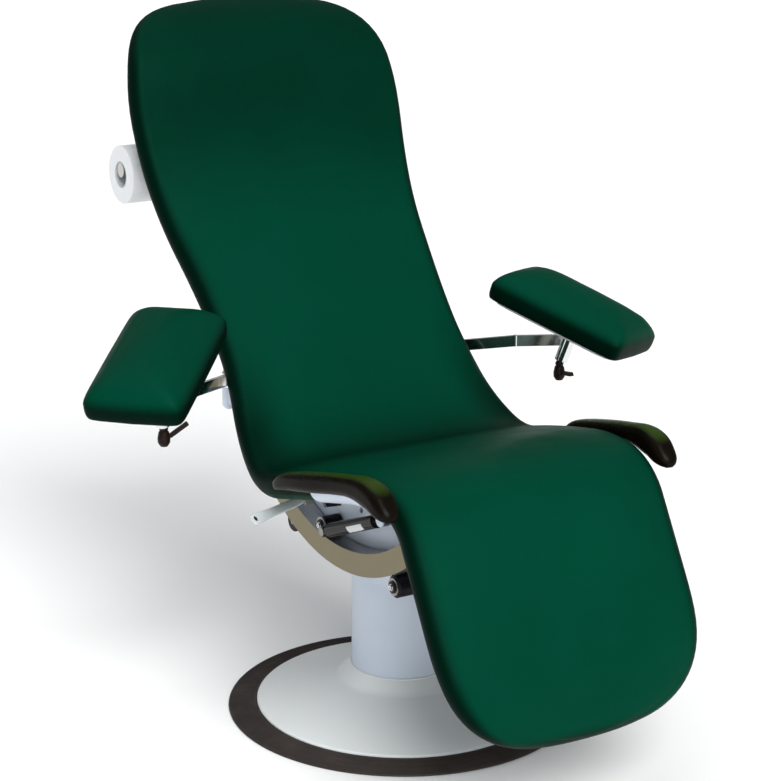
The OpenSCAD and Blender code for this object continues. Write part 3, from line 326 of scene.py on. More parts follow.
@dataclass(frozen=True)
class Plastic:
    """Moulded plastic, polyurethane or rubber: fine grain, worn patches and, if given, a painted reflection
    on faces that look up.
    """

    base: Colour
    worn: Colour
    rough: tuple[float, float] = (0.35, 0.5)
    grain: float = 1100.0
    depth: float = 0.00005
    wear: float = 0.4
    rings: float = 0.0
    gloss: float = 0.5
    painted_reflection_top: Colour | None = None

    def material(self, name: str) -> bpy.types.Material:
        """Returns the material made of this finish."""
        g = Graph(name)
        at = g.place()
        cloud = g.noise(at, 16.0, 5.0, 0.6)
        share = g.math("MULTIPLY", g.spread(cloud, 0.42, 0.78), self.wear)
        if self.rings:
            split = g.node("SeparateXYZ", Vector=at)
            flat = g.node("CombineXYZ", X=split.outputs["X"], Y=split.outputs["Y"], Z=0.0).outputs[0]
            reach = g.node("VectorMath", {"operation": "LENGTH"}, i0=flat).outputs["Value"]
            band = g.math("SINE", g.math("MULTIPLY", reach, self.rings))
            share = g.math("ADD", share, g.spread(band, 0.2, 1.0, 0.0, 0.3))
        tone = g.blend(share, self.base, self.worn)
        # Faces that look up get the painted reflection colour.
        if self.painted_reflection_top:
            facing = g.node("SeparateXYZ", Vector=g.node("NewGeometry").outputs["Normal"]).outputs["Z"]
            tone = g.blend(g.spread(facing, 0.70, 0.98), tone, self.painted_reflection_top)
        g.set(
            Base_Color=tone,
            Roughness=g.spread(g.noise(at, 40.0, 4.0), 0.3, 0.7, *self.rough),
            Specular_IOR_Level=self.gloss,
        )
        g.relief((g.noise(at, 45.0, 3.0), 0.0002), (g.cells(at, self.grain), self.depth))
        return g.material


@dataclass(frozen=True)
class Paper:
    """Crepe paper, a label or the core's board: fibres, faint layers and a matte face."""

    base: Colour
    deep: Colour
    layers: float = 0.0
    axis_y: float = 0.641
    axis_z: float = 1.011

    def material(self, name: str) -> bpy.types.Material:
        """Returns the material made of this finish."""
        g = Graph(name)
        at = g.place()
        fibre = g.noise(g.stretch(at, (90.0, 700.0, 700.0)), 1.0, 4.0, 0.65)
        share = g.math("MULTIPLY", g.spread(fibre, 0.35, 0.7), 0.6)
        if self.layers:
            split = g.node("SeparateXYZ", Vector=at)
            y = g.math("SUBTRACT", split.outputs["Y"], self.axis_y)
            z = g.math("SUBTRACT", split.outputs["Z"], self.axis_z)
            reach = g.math("SQRT", g.math("ADD", g.math("MULTIPLY", y, y), g.math("MULTIPLY", z, z)))
            wound = g.noise(g.node("CombineXYZ", X=reach, Y=0.0, Z=0.0).outputs[0], self.layers, 2.0)
            share = g.math("ADD", share, g.spread(wound, 0.45, 0.75, 0.0, 0.5))
        g.set(
            Base_Color=g.blend(share, self.base, self.deep),
            Roughness=g.spread(fibre, 0.2, 0.8, 0.82, 0.95),
            Specular_IOR_Level=0.2,
        )
        g.relief((fibre, 0.00012), (g.noise(at, 30.0, 2.0), 0.0004))
        return g.material


@dataclass
class Finishes:
    """The chair's finishes, each made once and shared by its pieces."""

    made: dict[str, bpy.types.Material] = field(default_factory=dict)
    kinds: dict[str, object] = field(default_factory=lambda: {
        "green_vinyl": Vinyl(),
        "green_back": Vinyl(base=(0.0, 0.026, 0.014), deep=(0.0, 0.010, 0.005), grain=520.0),
        "grey_paint": Paint((0.56, 0.63, 0.73), (0.44, 0.49, 0.56)),
        "white_paint": Paint((0.74, 0.77, 0.78), (0.60, 0.60, 0.57), peel=230.0, depth=0.00022,
                             floor_dust=0.5),
        "black_paint": Plastic((0.004, 0.004, 0.003), (0.012, 0.012, 0.008), (0.10, 0.18), 300.0, 0.00001,
                               gloss=0.16),
        "board_white": Paint((0.66, 0.69, 0.70), (0.5, 0.52, 0.52)),
        "cast_iron": Plastic((0.05, 0.05, 0.052), (0.12, 0.10, 0.08), (0.6, 0.8), 400.0, 0.0003, 0.7),
        # The rails' beige is a painted reflection of the surroundings, and so is the grey on their faces
        # that look along X.
        "satin_steel": Metal((0.23, 0.20, 0.125), (0.19, 0.165, 0.105), (0.34, 0.46), Brush.ARC,
                             edge=(0.42, 0.42, 0.43)),
        "tube_steel": Metal((0.58, 0.57, 0.54), (0.45, 0.44, 0.42), (0.24, 0.34), Brush.ACROSS),
        "fastener_steel": Metal((0.34, 0.33, 0.31), (0.20, 0.19, 0.18), (0.30, 0.42), Brush.NONE),
        "bolt_steel": Metal((0.72, 0.72, 0.72), (0.50, 0.50, 0.50), (0.16, 0.26), Brush.NONE),
        "polished_chrome": Metal((0.80, 0.81, 0.82), (0.66, 0.67, 0.68), (0.05, 0.12), Brush.NONE, 0.00001),
        "lever_alloy": Paint((0.52, 0.57, 0.57), (0.36, 0.40, 0.40), (0.24, 0.34), 500.0, 0.00002),
        "roller_black": Plastic((0.006, 0.005, 0.010), (0.025, 0.022, 0.030), (0.30, 0.45), gloss=0.12),
        # The olive on the armrests' upper faces is a painted reflection of the green shell.
        "armrest_black": Plastic((0.0030, 0.0020, 0.0010), (0.0055, 0.0045, 0.0020), (0.24, 0.34), 900.0,
                                 0.00003, 0.9, gloss=0.05, painted_reflection_top=(0.022, 0.042, 0.006)),
        "knob_black": Plastic((0.008, 0.004, 0.003), (0.03, 0.016, 0.010), (0.28, 0.4), gloss=0.12),
        "ring_rubber": Plastic((0.020, 0.0145, 0.0125), (0.055, 0.043, 0.037), (0.5, 0.65), 600.0, 0.00012,
                               0.5, 1900.0, 0.3),
        "cardboard": Paper((0.50, 0.53, 0.53), (0.36, 0.38, 0.38)),
        "white_paper": Paper((0.86, 0.87, 0.88), (0.70, 0.72, 0.74), layers=2600.0),
        "label_pale": Paper((0.72, 0.74, 0.74), (0.55, 0.57, 0.57)),
    })

    def get(self, name: str) -> bpy.types.Material:
        """Returns the named finish's material, made on its first use."""
        if name not in self.made:
            self.made[name] = self.kinds[name].material(name)
        return self.made[name]


FINISHES = Finishes()

# Meshes


def dress(obj: bpy.types.Object, finish: str) -> bpy.types.Object:
    """Gives an object one finish in place of what it has.

    Args:
        obj: The object.
        finish: The finish's name.

    Returns:
        The same object.
    """
    obj.data.materials.clear()
    obj.data.materials.append(FINISHES.get(finish))
    return obj


def piece(name: str, points: np.ndarray, faces: Sequence[Sequence[int]], body: str, finish: str,
          sharp_deg: float = 40.0) -> bpy.types.Object:
    """Makes a smooth-shaded piece that rides on a body.

    Args:
        name: The piece's name.
        points: Its vertices, in metres in the frame.
        faces: Its faces, as vertex numbers.
        body: The CAD body that it moves with.
        finish: The name of its finish.
        sharp_deg: Edges that bend more than this stay sharp.

    Returns:
        The new object.
    """
    mesh = bpy.data.meshes.new(name)
    mesh.from_pydata([tuple(p) for p in points], [], [tuple(f) for f in faces])
    mesh.validate()
    mesh.update()
    mesh.shade_smooth()
    mesh.set_sharp_from_angle(angle=math.radians(sharp_deg))
    obj = bpy.data.objects.new(name, mesh)
    bpy.context.scene.collection.objects.link(obj)
    dress(obj, finish)
    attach(obj, body)
    return obj


def paint_shade(obj: bpy.types.Object, shares: np.ndarray) -> None:
    """Keeps on each vertex a share of painted shade, which darkens the cover there.

    Args:
        obj: The covered piece.
        shares: A share from 0 to 1 for each vertex.
    """
    layer = obj.data.attributes.new("stretched", "FLOAT", "POINT")
    layer.data.foreach_set("value", np.clip(shares, 0, 1).astype(np.float32))


def tube_faces(rings: int, around: int, closed_ends: bool = True) -> list[tuple[int, ...]]:
    """Returns the faces of a skin through rings of points, with each end closed by a point after them.

    Args:
        rings: How many rings there are.
        around: How many points each ring has.
        closed_ends: Whether two more points close the ends.

    Returns:
        The faces, all turned the same way.
    """
    faces: list[tuple[int, ...]] = []
    for i in range(rings - 1):
        for j in range(around):
            k = (j + 1) % around
            faces.append((i * around + j, (i + 1) * around + j, (i + 1) * around + k, i * around + k))
    if closed_ends:
        last, tip = (rings - 1) * around, rings * around
        for j in range(around):
            k = (j + 1) % around
            faces.append((tip, j, k))
            faces.append((tip + 1, last + k, last + j))
    return faces


def outward(points: np.ndarray, faces: list[tuple[int, ...]]) -> list[tuple[int, ...]]:
    """Returns the faces, all turned round if they point inwards."""
    volume = 0.0
    for f in faces:
        for a, b in zip(f[1:-1], f[2:]):
            volume += float(np.dot(points[f[0]], np.cross(points[a], points[b])))
    return faces if volume > 0 else [tuple(reversed(f)) for f in faces]


def loft(name: str, rings: Sequence[np.ndarray], tips: Sequence[np.ndarray], body: str, finish: str,
         sharp_deg: float = 40.0) -> bpy.types.Object:
    """Makes a closed piece through rings of points, with a tip beyond each end.

    Args:
        name: The piece's name.
        rings: Rings of equal size.
        tips: The two end points.
        body: The CAD body that it moves with.
        finish: The name of its finish.
        sharp_deg: Edges that bend more than this stay sharp.

    Returns:
        The new object.
    """
    points = np.vstack([*rings, np.array(tips)])
    faces = outward(points, tube_faces(len(rings), len(rings[0])))
    return piece(name, points, faces, body, finish, sharp_deg)


def capped(name: str, rings: Sequence[np.ndarray], body: str, finish: str,
           sharp_deg: float) -> bpy.types.Object:
    """Makes a closed piece through rings of points, with a flat face on each end.

    Args:
        name: The piece's name.
        rings: Rings of equal size.
        body: The CAD body that it moves with.
        finish: The name of its finish.
        sharp_deg: Edges that bend more than this stay sharp.

    Returns:
        The new object.
    """
    n, around = len(rings), len(rings[0])
    caps = [tuple(range(around)), tuple(range(n * around - 1, (n - 1) * around - 1, -1))]
    points = np.vstack(rings)
    faces = outward(points, [*tube_faces(n, around, closed_ends=False), *caps])
    return piece(name, points, faces, body, finish, sharp_deg=sharp_deg)


def lathe(profile: Sequence[tuple[float, float]], around: int) -> tuple[np.ndarray, list[tuple[int, ...]]]:
    """Turns a closed outline round the Z axis.

    Args:
        profile: Points (radius, height) of a closed outline that stays off the axis.
        around: How many steps the circle has.

    Returns:
        Points and faces of the turned shape.
    """
    turns = np.linspace(0, 2 * math.pi, around, endpoint=False)
    rings = [np.array([(r * math.cos(t), r * math.sin(t), z) for r, z in profile]) for t in turns]
    n = len(profile)
    faces = []
    for i in range(around):
        for j in range(n):
            k, m = (j + 1) % n, (i + 1) % around
            faces.append((i * n + j, m * n + j, m * n + k, i * n + k))
    points = np.vstack(rings)
    return points, outward(points, faces)


def superellipse(angle: np.ndarray | float, power: float) -> tuple[np.ndarray, np.ndarray]:
    """Returns the shares across and up of a rounded square of that power at an angle."""
    c, s = np.cos(angle), np.sin(angle)
    return np.sign(c) * np.abs(c) ** (2 / power), np.sign(s) * np.abs(s) ** (2 / power)


def bell(at: np.ndarray | float, middle: float, width: float) -> np.ndarray | float:
    """Returns a smooth bump, 1 at its middle and almost 0 beyond twice its width."""
    return np.exp(-(((at - middle) / width) ** 2))


def smooth_step(t: np.ndarray | float) -> np.ndarray | float:
    """Returns a smooth rise from 0 to 1."""
    t = np.clip(t, 0, 1)
    return t * t * (3 - 2 * t)


class Waves:
    """Smooth waves made of a few sines with fixed phases, for hand-made unevenness."""

    def __init__(self, seed: int, count: int = 6) -> None:
        """Draws the waves' directions and phases.

        Args:
            seed: The seed of the draw.
            count: How many waves there are.
        """
        draw = np.random.default_rng(seed)
        self.ways = draw.normal(size=(count, 2))
        self.ways /= np.linalg.norm(self.ways, axis=1)[:, None]
        self.phases = draw.uniform(0, 2 * math.pi, count)
        self.rates = draw.uniform(0.6, 1.6, count)

    def at(self, u: np.ndarray, v: np.ndarray, length: float) -> np.ndarray:
        """Returns the waves' height, about -1 to 1.

        Args:
            u: One coordinate in metres.
            v: The other coordinate in metres.
            length: The usual wave length in metres.
        """
        total = np.zeros(np.broadcast(u, v).shape)
        for way, phase, rate in zip(self.ways, self.phases, self.rates):
            total += np.sin((u * way[0] + v * way[1]) * rate * 2 * math.pi / length + phase)
        return total / len(self.phases) ** 0.5


# Geometry nodes


class Pattern(Nodes):
    """A Geometry Nodes tree built in the script, with named inputs for its sizes."""

    def __init__(self, name: str) -> None:
        """Starts a tree with a geometry input and output.

        Args:
            name: The tree's name.
        """
        self.tree = bpy.data.node_groups.new(name, "GeometryNodeTree")
        self.tree.interface.new_socket("Geometry", in_out="INPUT", socket_type="NodeSocketGeometry")
        self.tree.interface.new_socket("Geometry", in_out="OUTPUT", socket_type="NodeSocketGeometry")
        self.inlet = self.tree.nodes.new("NodeGroupInput")
        self.outlet = self.tree.nodes.new("NodeGroupOutput")

    def size(self, name: str, default: float) -> Socket:
        """Adds a named number to the tree's inputs and returns its socket inside."""
        made = self.tree.interface.new_socket(name, in_out="INPUT", socket_type="NodeSocketFloat")
        made.default_value = default
        return self.inlet.outputs[name]

    def close(self, geometry: Socket, finish: str) -> None:
        """Realizes what the tree makes, gives it its finish, and ends the tree."""
        real = self.node("GeometryNodeRealizeInstances", i0=geometry).outputs[0]
        last = self.node("GeometryNodeSetMaterial", Geometry=real, Material=FINISHES.get(finish))
        self.tree.links.new(last.outputs[0], self.outlet.inputs[0])

    def grow(self, name: str, base: bpy.types.Mesh, sizes: dict[str, float], body: str,
             slot: str) -> bpy.types.Object:
        """Runs the tree on a mesh and keeps the result as a plain piece.

        Args:
            name: The piece's name.
            base: The mesh that the tree starts from.
            sizes: Values for the tree's named inputs.
            body: The CAD body that the piece moves with.
            slot: Not used.

        Returns:
            The new piece.
        """
        host = bpy.data.objects.new(name + "_host", base)
        bpy.context.scene.collection.objects.link(host)
        modifier = host.modifiers.new("pattern", "NODES")
        modifier.node_group = self.tree
        for item in self.tree.interface.items_tree:
            if item.item_type == "SOCKET" and item.in_out == "INPUT" and item.name in sizes:
                modifier[item.identifier] = sizes[item.name]
        view = bpy.context.evaluated_depsgraph_get()
        mesh = bpy.data.meshes.new_from_object(host.evaluated_get(view))
        bpy.data.objects.remove(host)
        made = bpy.data.objects.new(name, mesh)
        bpy.context.scene.collection.objects.link(made)
        mesh.shade_smooth()
        mesh.set_sharp_from_angle(angle=math.radians(35))
        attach(made, body)
        return made


def marks(places: Sequence[Sequence[float]], ways: Sequence[Sequence[float]]) -> bpy.types.Mesh:
    """Returns a mesh of loose points, each with the direction that its copy faces."""
    mesh = bpy.data.meshes.new("marks")
    mesh.from_pydata([tuple(p) for p in places], [], [])
    way = mesh.attributes.new("way", "FLOAT_VECTOR", "POINT")
    way.data.foreach_set("vector", np.array(ways, np.float32).ravel())
    return mesh


def path_mesh(points: np.ndarray, closed: bool) -> bpy.types.Mesh:
    """Returns a mesh of edges through points, for a tree that follows a path."""
    mesh = bpy.data.meshes.new("path")
    edges = [(i, i + 1) for i in range(len(points) - 1)] + ([(len(points) - 1, 0)] if closed else [])
    mesh.from_pydata([tuple(p) for p in points], edges, [])
    return mesh


def bead_pattern(finish: str) -> Pattern:
    """Returns a tree that lays a round bead of a named radius along a path."""
    t = Pattern("bead")
    radius = t.size("Radius", 0.002)
    curve = t.node("GeometryNodeMeshToCurve", Mesh=t.inlet.outputs[0]).outputs[0]
    round_ = t.node("GeometryNodeCurvePrimitiveCircle", Resolution=8, Radius=radius).outputs[0]
    solid = t.node("GeometryNodeCurveToMesh", Curve=curve, Profile_Curve=round_, Fill_Caps=True).outputs[0]
    t.close(solid, finish)
    return t


def screw_pattern(finish: str) -> Pattern:
    """Returns a tree that sets a socket-head screw with a washer on each mark, facing its way."""
    t = Pattern("screws")
    radius, height = t.size("Radius", 0.006), t.size("Height", 0.004)
    lift = t.node("ShaderNodeCombineXYZ", Z=t.math("MULTIPLY", height, 0.5)).outputs[0]
    head = t.node("GeometryNodeMeshCylinder", Vertices=28, Radius=radius, Depth=height)
    inner = t.math("MULTIPLY", radius, 0.52)
    socket = t.node("GeometryNodeMeshCylinder", Vertices=6, Radius=inner, Depth=height)
    up = t.node("ShaderNodeCombineXYZ", Z=t.math("MULTIPLY", height, 0.62)).outputs[0]
    raised = t.node("GeometryNodeTransform", Geometry=socket.outputs[0], Translation=up).outputs[0]
    cut = t.node("GeometryNodeMeshBoolean", {"operation": "DIFFERENCE"}, Mesh_1=head.outputs[0],
                 Mesh_2=raised)
    rim, sheet = t.math("MULTIPLY", radius, 1.22), t.math("MULTIPLY", height, 0.22)
    washer = t.node("GeometryNodeMeshCylinder", Vertices=32, Radius=rim, Depth=sheet)
    head_up = t.node("GeometryNodeTransform", Geometry=cut.outputs[0], Translation=lift).outputs[0]
    both = t.node("GeometryNodeJoinGeometry")
    t.tree.links.new(head_up, both.inputs[0])
    t.tree.links.new(washer.outputs[0], both.inputs[0])
    way = t.node("GeometryNodeInputNamedAttribute", {"data_type": "FLOAT_VECTOR"}, Name="way").outputs[0]
    turn = t.node("FunctionNodeAlignRotationToVector", {"axis": "Z"}, Vector=way).outputs[0]
    copies = t.node("GeometryNodeInstanceOnPoints", Points=t.inlet.outputs[0], Instance=both.outputs[0],
                    Rotation=turn)
    t.close(copies.outputs[0], finish)
    return t


def rounding_tree() -> bpy.types.NodeTree:
    """Returns a tree that welds a mesh's seams and shades it smooth, but for its sharp edges."""
    t = Pattern("rounding")
    limit = t.size("Sharpest", math.radians(28))
    welded = t.node("GeometryNodeMergeByDistance", Geometry=t.inlet.outputs[0], Distance=0.00001).outputs[0]
    smooth = t.node("GeometryNodeSetShadeSmooth", {"domain": "FACE"}, Geometry=welded,
                    Shade_Smooth=True).outputs[0]
    angle = t.node("GeometryNodeInputMeshEdgeAngle").outputs[0]
    sharp = t.node("FunctionNodeCompare", {"data_type": "FLOAT", "operation": "GREATER_THAN"}, i0=angle,
                   i1=limit)
    edged = t.node("GeometryNodeSetShadeSmooth", {"domain": "EDGE"}, Geometry=smooth, Shade_Smooth=False,
                   Selection=sharp.outputs[0]).outputs[0]
    t.tree.links.new(edged, t.outlet.inputs[0])
    return t.tree


# The shell


@dataclass
class Shell:
    """The one-piece upholstered shell: a profile of arcs, an outline of smooth steps, and its cover."""

    head_edge: tuple[float, float] = (0.712, 1.331)
    runs: tuple[float, ...] = (0.205, 0.139, 0.230, 0.358, 0.133, 0.097, 0.225, 0.112, 0.112, 0.219, 0.181)
    tilts: tuple[float, ...] = (
        -3.8, -72.4, -70.3, -46.5, -51.6, -26.3, 15.4, 12.3, -3.9, -60.5, -61.1, -82.6)
    thickness: float = 0.052
    board: float = 0.012
    crown: float = 0.009
    half_widths: tuple[float, float, float, float] = (0.315, 0.274, 0.319, 0.282)
    width_stations: tuple[float, float, float, float] = (0.246, 0.798, 1.169, 1.587)
    end_rounds: tuple[float, float] = (0.326, 0.247)
    round_power: float = 2.9
    hip_at: float = 1.17
    lap_at: float = 1.13
    pull_gap: float = 0.052
    pull_depth: float = 0.0009
    lap_depth: float = 0.0015
    wave_depth: float = 0.0007
    wave_length: float = 0.33
    seed: int = 11
    # Painted shade on the cover: the rolled rim (most, share across where it starts, fade, fade at the
    # tips), the head (share, start, fade), the lap and the hips (share, place, width).
    painted_shade_rim: tuple[float, float, float, float] = (0.92, 0.88, 0.11, 0.030)
    painted_shade_head: tuple[float, float, float] = (0.55, 0.22, 0.42)
    painted_shade_lap: tuple[float, float, float] = (0.62, 1.14, 0.105)
    painted_shade_hips: tuple[float, float, float] = (0.75, 1.02, 0.16)
    hem_gap: float = 0.0004
    seam_in: float = 0.004
    bead_r: float = 0.0014

    def __post_init__(self) -> None:
        """Works out where each run of the profile starts."""
        self.starts = np.concatenate([[0], np.cumsum(self.runs)])
        self.length = float(self.starts[-1])
        self.edge = self.thickness / 2
        self.split = self.edge - self.board
        points = [np.array(self.head_edge)]
        for i, run in enumerate(self.runs):
            points.append(self.step(points[-1], self.tilts[i], self.tilts[i + 1], run))
        self.points = points

    @staticmethod
    def step(start: np.ndarray, a: float, b: float, d: float) -> np.ndarray:
        """Returns the point d along an arc whose slope goes from a to b degrees."""
        ra, rb = math.radians(a), math.radians(b)
        if abs(b - a) < 0.01:
            return start + d * np.array([-math.cos(ra), math.sin(ra)])
        return start + d / (rb - ra) * np.array([math.sin(ra) - math.sin(rb), math.cos(ra) - math.cos(rb)])

    def slope(self, s: float) -> float:
        """Returns the profile's slope in radians at a distance s from the head edge."""
        i = min(int(np.searchsorted(self.starts, s, side="right")) - 1, len(self.runs) - 1)
        i = max(i, 0)
        degrees = self.tilts[i] + (self.tilts[i + 1] - self.tilts[i]) * (s - self.starts[i]) / self.runs[i]
        return math.radians(degrees)

    def spine(self, s: float) -> np.ndarray:
        """Returns the point (y, z) of the profile's middle line at s."""
        i = min(int(np.searchsorted(self.starts, s, side="right")) - 1, len(self.runs) - 1)
        i = max(i, 0)
        return self.step(self.points[i], self.tilts[i], math.degrees(self.slope(s)), s - self.starts[i])

    def on(self, x: np.ndarray, s: float, n: np.ndarray) -> np.ndarray:
        """Returns points x across, s along and n above the middle line."""
        p, a = self.spine(s), self.slope(s)
        x, n = np.broadcast_arrays(np.asarray(x, float), np.asarray(n, float))
        return np.stack([x, p[0] + n * math.sin(a), p[1] + n * math.cos(a)], axis=-1)

    def half_width(self, s: float) -> float:
        """Returns half the shell's width at s."""
        w, at = self.half_widths, self.width_stations
        side = w[0]
        for i in range(3):
            side += (w[i + 1] - w[i]) * float(smooth_step((s - at[i]) / (at[i + 1] - at[i])))
        for d, r in ((s, self.end_rounds[0]), (self.length - s, self.end_rounds[1])):
            if d < r:
                side *= max(1 - ((r - d) / r) ** self.round_power, 0) ** (1 / self.round_power)
        return side

    def half_thickness(self, s: float) -> float:
        """Returns half the shell's thickness at s, which rounds off at its ends."""
        d = min(s, self.length - s)
        return self.edge if d >= self.edge else math.sqrt(max(self.edge**2 - (self.edge - d) ** 2, 0))

    def edge_width(self, s: float) -> float:
        """Returns the width of the rounded edge in a slice across the shell."""
        h = self.length / 4000
        rise = self.half_width(min(s + h, self.length)) - self.half_width(max(s - h, 0))
        return min(self.half_width(s) * 0.96, self.edge * math.sqrt(1 + (rise / 2 / h) ** 2))

    def stations(self) -> np.ndarray:
        """Returns places along the shell, closer where it ends."""
        steps = 26
        head = [self.end_rounds[0] * (k / steps) ** 2.6 for k in range(1, steps + 1)]
        foot = [self.length - self.end_rounds[1] * (k / steps) ** 2.6 for k in range(steps, 0, -1)]
        return np.array([*head, *np.linspace(head[-1], foot[0], 150)[1:-1], *foot])

    def sag(self, x: np.ndarray, s: float) -> np.ndarray:
        """Returns how far the cover lies below its plain crown: soft waves and pulls at the hip.

        Args:
            x: Places across, in metres.
            s: The place along, in metres.
        """
        w = max(self.half_width(s), 1e-4)
        side = np.abs(x) / w
        phase = (s - self.hip_at) * 2 * math.pi / self.pull_gap + np.abs(x) * 9
        pulls = bell(s, self.hip_at, 0.07) * np.sin(phase) * smooth_step((side - 0.55) / 0.4)
        lap = bell(s, self.lap_at, 0.10) * (1 - side**2)
        waves = self.waves.at(x, np.full_like(x, s), self.wave_length)
        return self.pull_depth * pulls + self.lap_depth * lap + self.wave_depth * waves

    def stretched(self, ring: np.ndarray, s: float) -> np.ndarray:
        """Returns the painted shade round a slice: at its rolled sides, head, lap and hips.

        Args:
            ring: The slice's points.
            s: The slice's place along the shell.
        """
        side = np.abs(ring[:, 0]) / max(self.half_width(s), 1e-4)
        end = min(s, self.length - s)
        most, from_side, fade, tip_fade = self.painted_shade_rim
        rim = np.maximum(smooth_step((side - from_side) / fade), 1 - smooth_step((end - 0.002) / tip_fade))
        share, start, fade = self.painted_shade_head
        head = share * (1 - smooth_step((s - start) / fade))
        share, at, width = self.painted_shade_lap
        lap = share * bell(s, at, width)
        share, at, width = self.painted_shade_hips
        hips = share * bell(s, at, width) * smooth_step((side - 0.62) / 0.34)
        return np.maximum(most * rim, 1 - (1 - head) * (1 - lap) * (1 - hips))

    def build(self) -> None:
        """Builds the front cover, the back cover and their seam."""
        self.waves = Waves(self.seed)
        seam = -math.asin(self.split / self.edge)
        front_edge = np.linspace(seam, math.pi / 2, 13)
        back_edge = np.linspace(seam, -math.pi / 2, 8)
        fronts, backs, seams = [], [], []
        for s in self.stations():
            w, e, t = self.half_width(s), self.edge_width(s), self.half_thickness(s)
            c = self.crown * t / self.edge * min(1, w / self.half_widths[1])
            across = np.linspace(1, -1, 43)[1:-1]
            top_n = t + c * (1 - across**4)
            right = self.on(w - e + e * np.cos(front_edge), s, t * np.sin(front_edge))
            top = self.on(across * (w - e), s, top_n - self.sag(across * (w - e), s) * t / self.edge)
            left = self.on(-w + e - e * np.cos(front_edge[::-1]), s, t * np.sin(front_edge[::-1]))
            reach = w - e + e * math.cos(seam)
            under = self.on(np.linspace(-1, 1, 12)[1:-1] * reach, s, t * math.sin(seam))
            fronts.append(np.vstack([right, top, left, under]))
            seams.append((right[0], left[-1]))
            if self.seam_in < s < self.length - self.seam_in:
                hem = t * np.sin(back_edge) - self.hem_gap
                rise = self.on(w - e + e * np.cos(back_edge[::-1]), s, hem[::-1])
                lid = self.on(np.linspace(1, -1, 12)[1:-1] * reach, s, t * math.sin(seam) - self.hem_gap)
                fall = self.on(-w + e - e * np.cos(back_edge), s, hem)
                flat = self.on(np.linspace(-1, 1, 22)[1:-1] * (w - e), s, -t)
                backs.append(np.vstack([rise, lid, fall, flat]))
        tips = (self.on(0, 0, 0), self.on(0, self.length, 0))
        cover = loft("front_cover", fronts, tips, "seat", "green_vinyl")
        # Each vertex keeps its painted shade: the rolled rim, the head, the lap and the hips.
        shade_shares = [self.stretched(ring, s) for ring, s in zip(fronts, self.stations())]
        paint_shade(cover, np.concatenate([*shade_shares, [1.0, 1.0]]))
        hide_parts("seat_upholstery")
        ends = (backs[0].mean(0), backs[-1].mean(0))
        rear = loft("back_cover", backs, ends, "seat", "green_back")
        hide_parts("back_board")
        loop = np.array([p[0] for p in seams] + [p[1] for p in reversed(seams)])
        middle = loop.mean(0)
        loop += (middle - loop) * np.array([0.0012, 0.0, 0.0]) / 0.3
        bead = bead_pattern("green_back")
        bead.grow("seam_bead", path_mesh(loop, True), {"Radius": self.bead_r}, "seat", "green_vinyl")
        LOG.info("shell: %d rings of %d", len(fronts), len(fronts[0]))


# Armrests


@dataclass
class Armrest:
    """A moulded armrest: a slim rear, a broad knuckle in front and a fine parting line."""

    side: str
    x: float = 0.3315
    draw: float = 0.0265
    y: float = 0.090
    drop: float = 0.236
    length: float = 0.369
    rise: float = 0.075
    half_w: float = 0.0245
    half_t: float = 0.0245
    rock_z: float = 0.772
    power: float = 2.6
    stations: int = 61
    around: int = 48
    groove: tuple[float, float] = (0.03, 0.10)
    shares: tuple[tuple[float, float, float, float], ...] = (
        (0.010, 0.14, 0.40, 0.36), (0.040, 0.22, 0.60, 0.46), (0.10, 0.36, 0.70, 0.64),
        (0.20, 0.50, 0.76, 0.72), (0.35, 0.67, 0.79, 0.78), (0.52, 0.86, 0.81, 0.78),
        (0.65, 0.98, 0.86, 0.80), (0.74, 1.02, 0.92, 0.94), (0.81, 1.00, 0.98, 1.04),
        (0.87, 0.94, 1.00, 1.00), (0.92, 0.80, 0.96, 0.84), (0.965, 0.68, 0.78, 0.58),
        (0.99, 0.60, 0.48, 0.34),
    )

    def build(self) -> None:
        """Builds the armrest as a fine loft through smoothed stations."""
        table = np.array(self.shares)
        steps = np.linspace(0, len(table) - 1, self.stations)
        fine = np.stack([self.smooth(table[:, c], steps) for c in range(4)], axis=1)
        y = -self.y - self.length * fine[:, 0]
        z = self.rock_z - self.drop + self.rise * fine[:, 1]
        tangent = np.stack([np.gradient(y), np.gradient(z)], axis=1)
        tangent /= np.linalg.norm(tangent, axis=1)[:, None]
        angle = np.linspace(0, 2 * math.pi, self.around, endpoint=False)
        across, up = superellipse(angle, self.power)
        depth, width = self.groove
        groove = 1 - depth * bell(np.sin(angle), 0.0, width) * (np.abs(np.cos(angle)) > 0.5)
        sign = mirror_sign(self.side)
        rings = []
        for k, q in enumerate(fine):
            x = self.x - self.draw * float(smooth_step(q[0]))
            u, v = across * q[2] * self.half_w * groove, up * q[3] * self.half_t
            ring = [sign * (x + u), y[k] + v * tangent[k, 1], z[k] - v * tangent[k, 0]]
            rings.append(np.stack(ring, axis=1))
        tips = []
        for k, way in ((0, -1), (-1, 1)):
            lift = way * self.half_t * 0.25 * np.array([0, tangent[k, 0], tangent[k, 1]])
            tips.append(rings[k].mean(0) + lift)
        made = loft(f"armrest_grip_{self.side}", rings, tips, "seat", "armrest_black")
        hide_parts(f"armrest_{self.side}")

    @staticmethod
    def smooth(values: np.ndarray, at: np.ndarray) -> np.ndarray:
        """Returns values between table rows on a smooth curve through the rows."""
        i = np.clip(at.astype(int), 0, len(values) - 2)
        t = at - i
        slopes = np.gradient(values)
        a, b = values[i], values[i + 1]
        return ((2 * t**3 - 3 * t**2 + 1) * a + (t**3 - 2 * t**2 + t) * slopes[i]
                + (3 * t**2 - 2 * t**3) * b + (t**3 - t**2) * slopes[i + 1])


# Arm pads


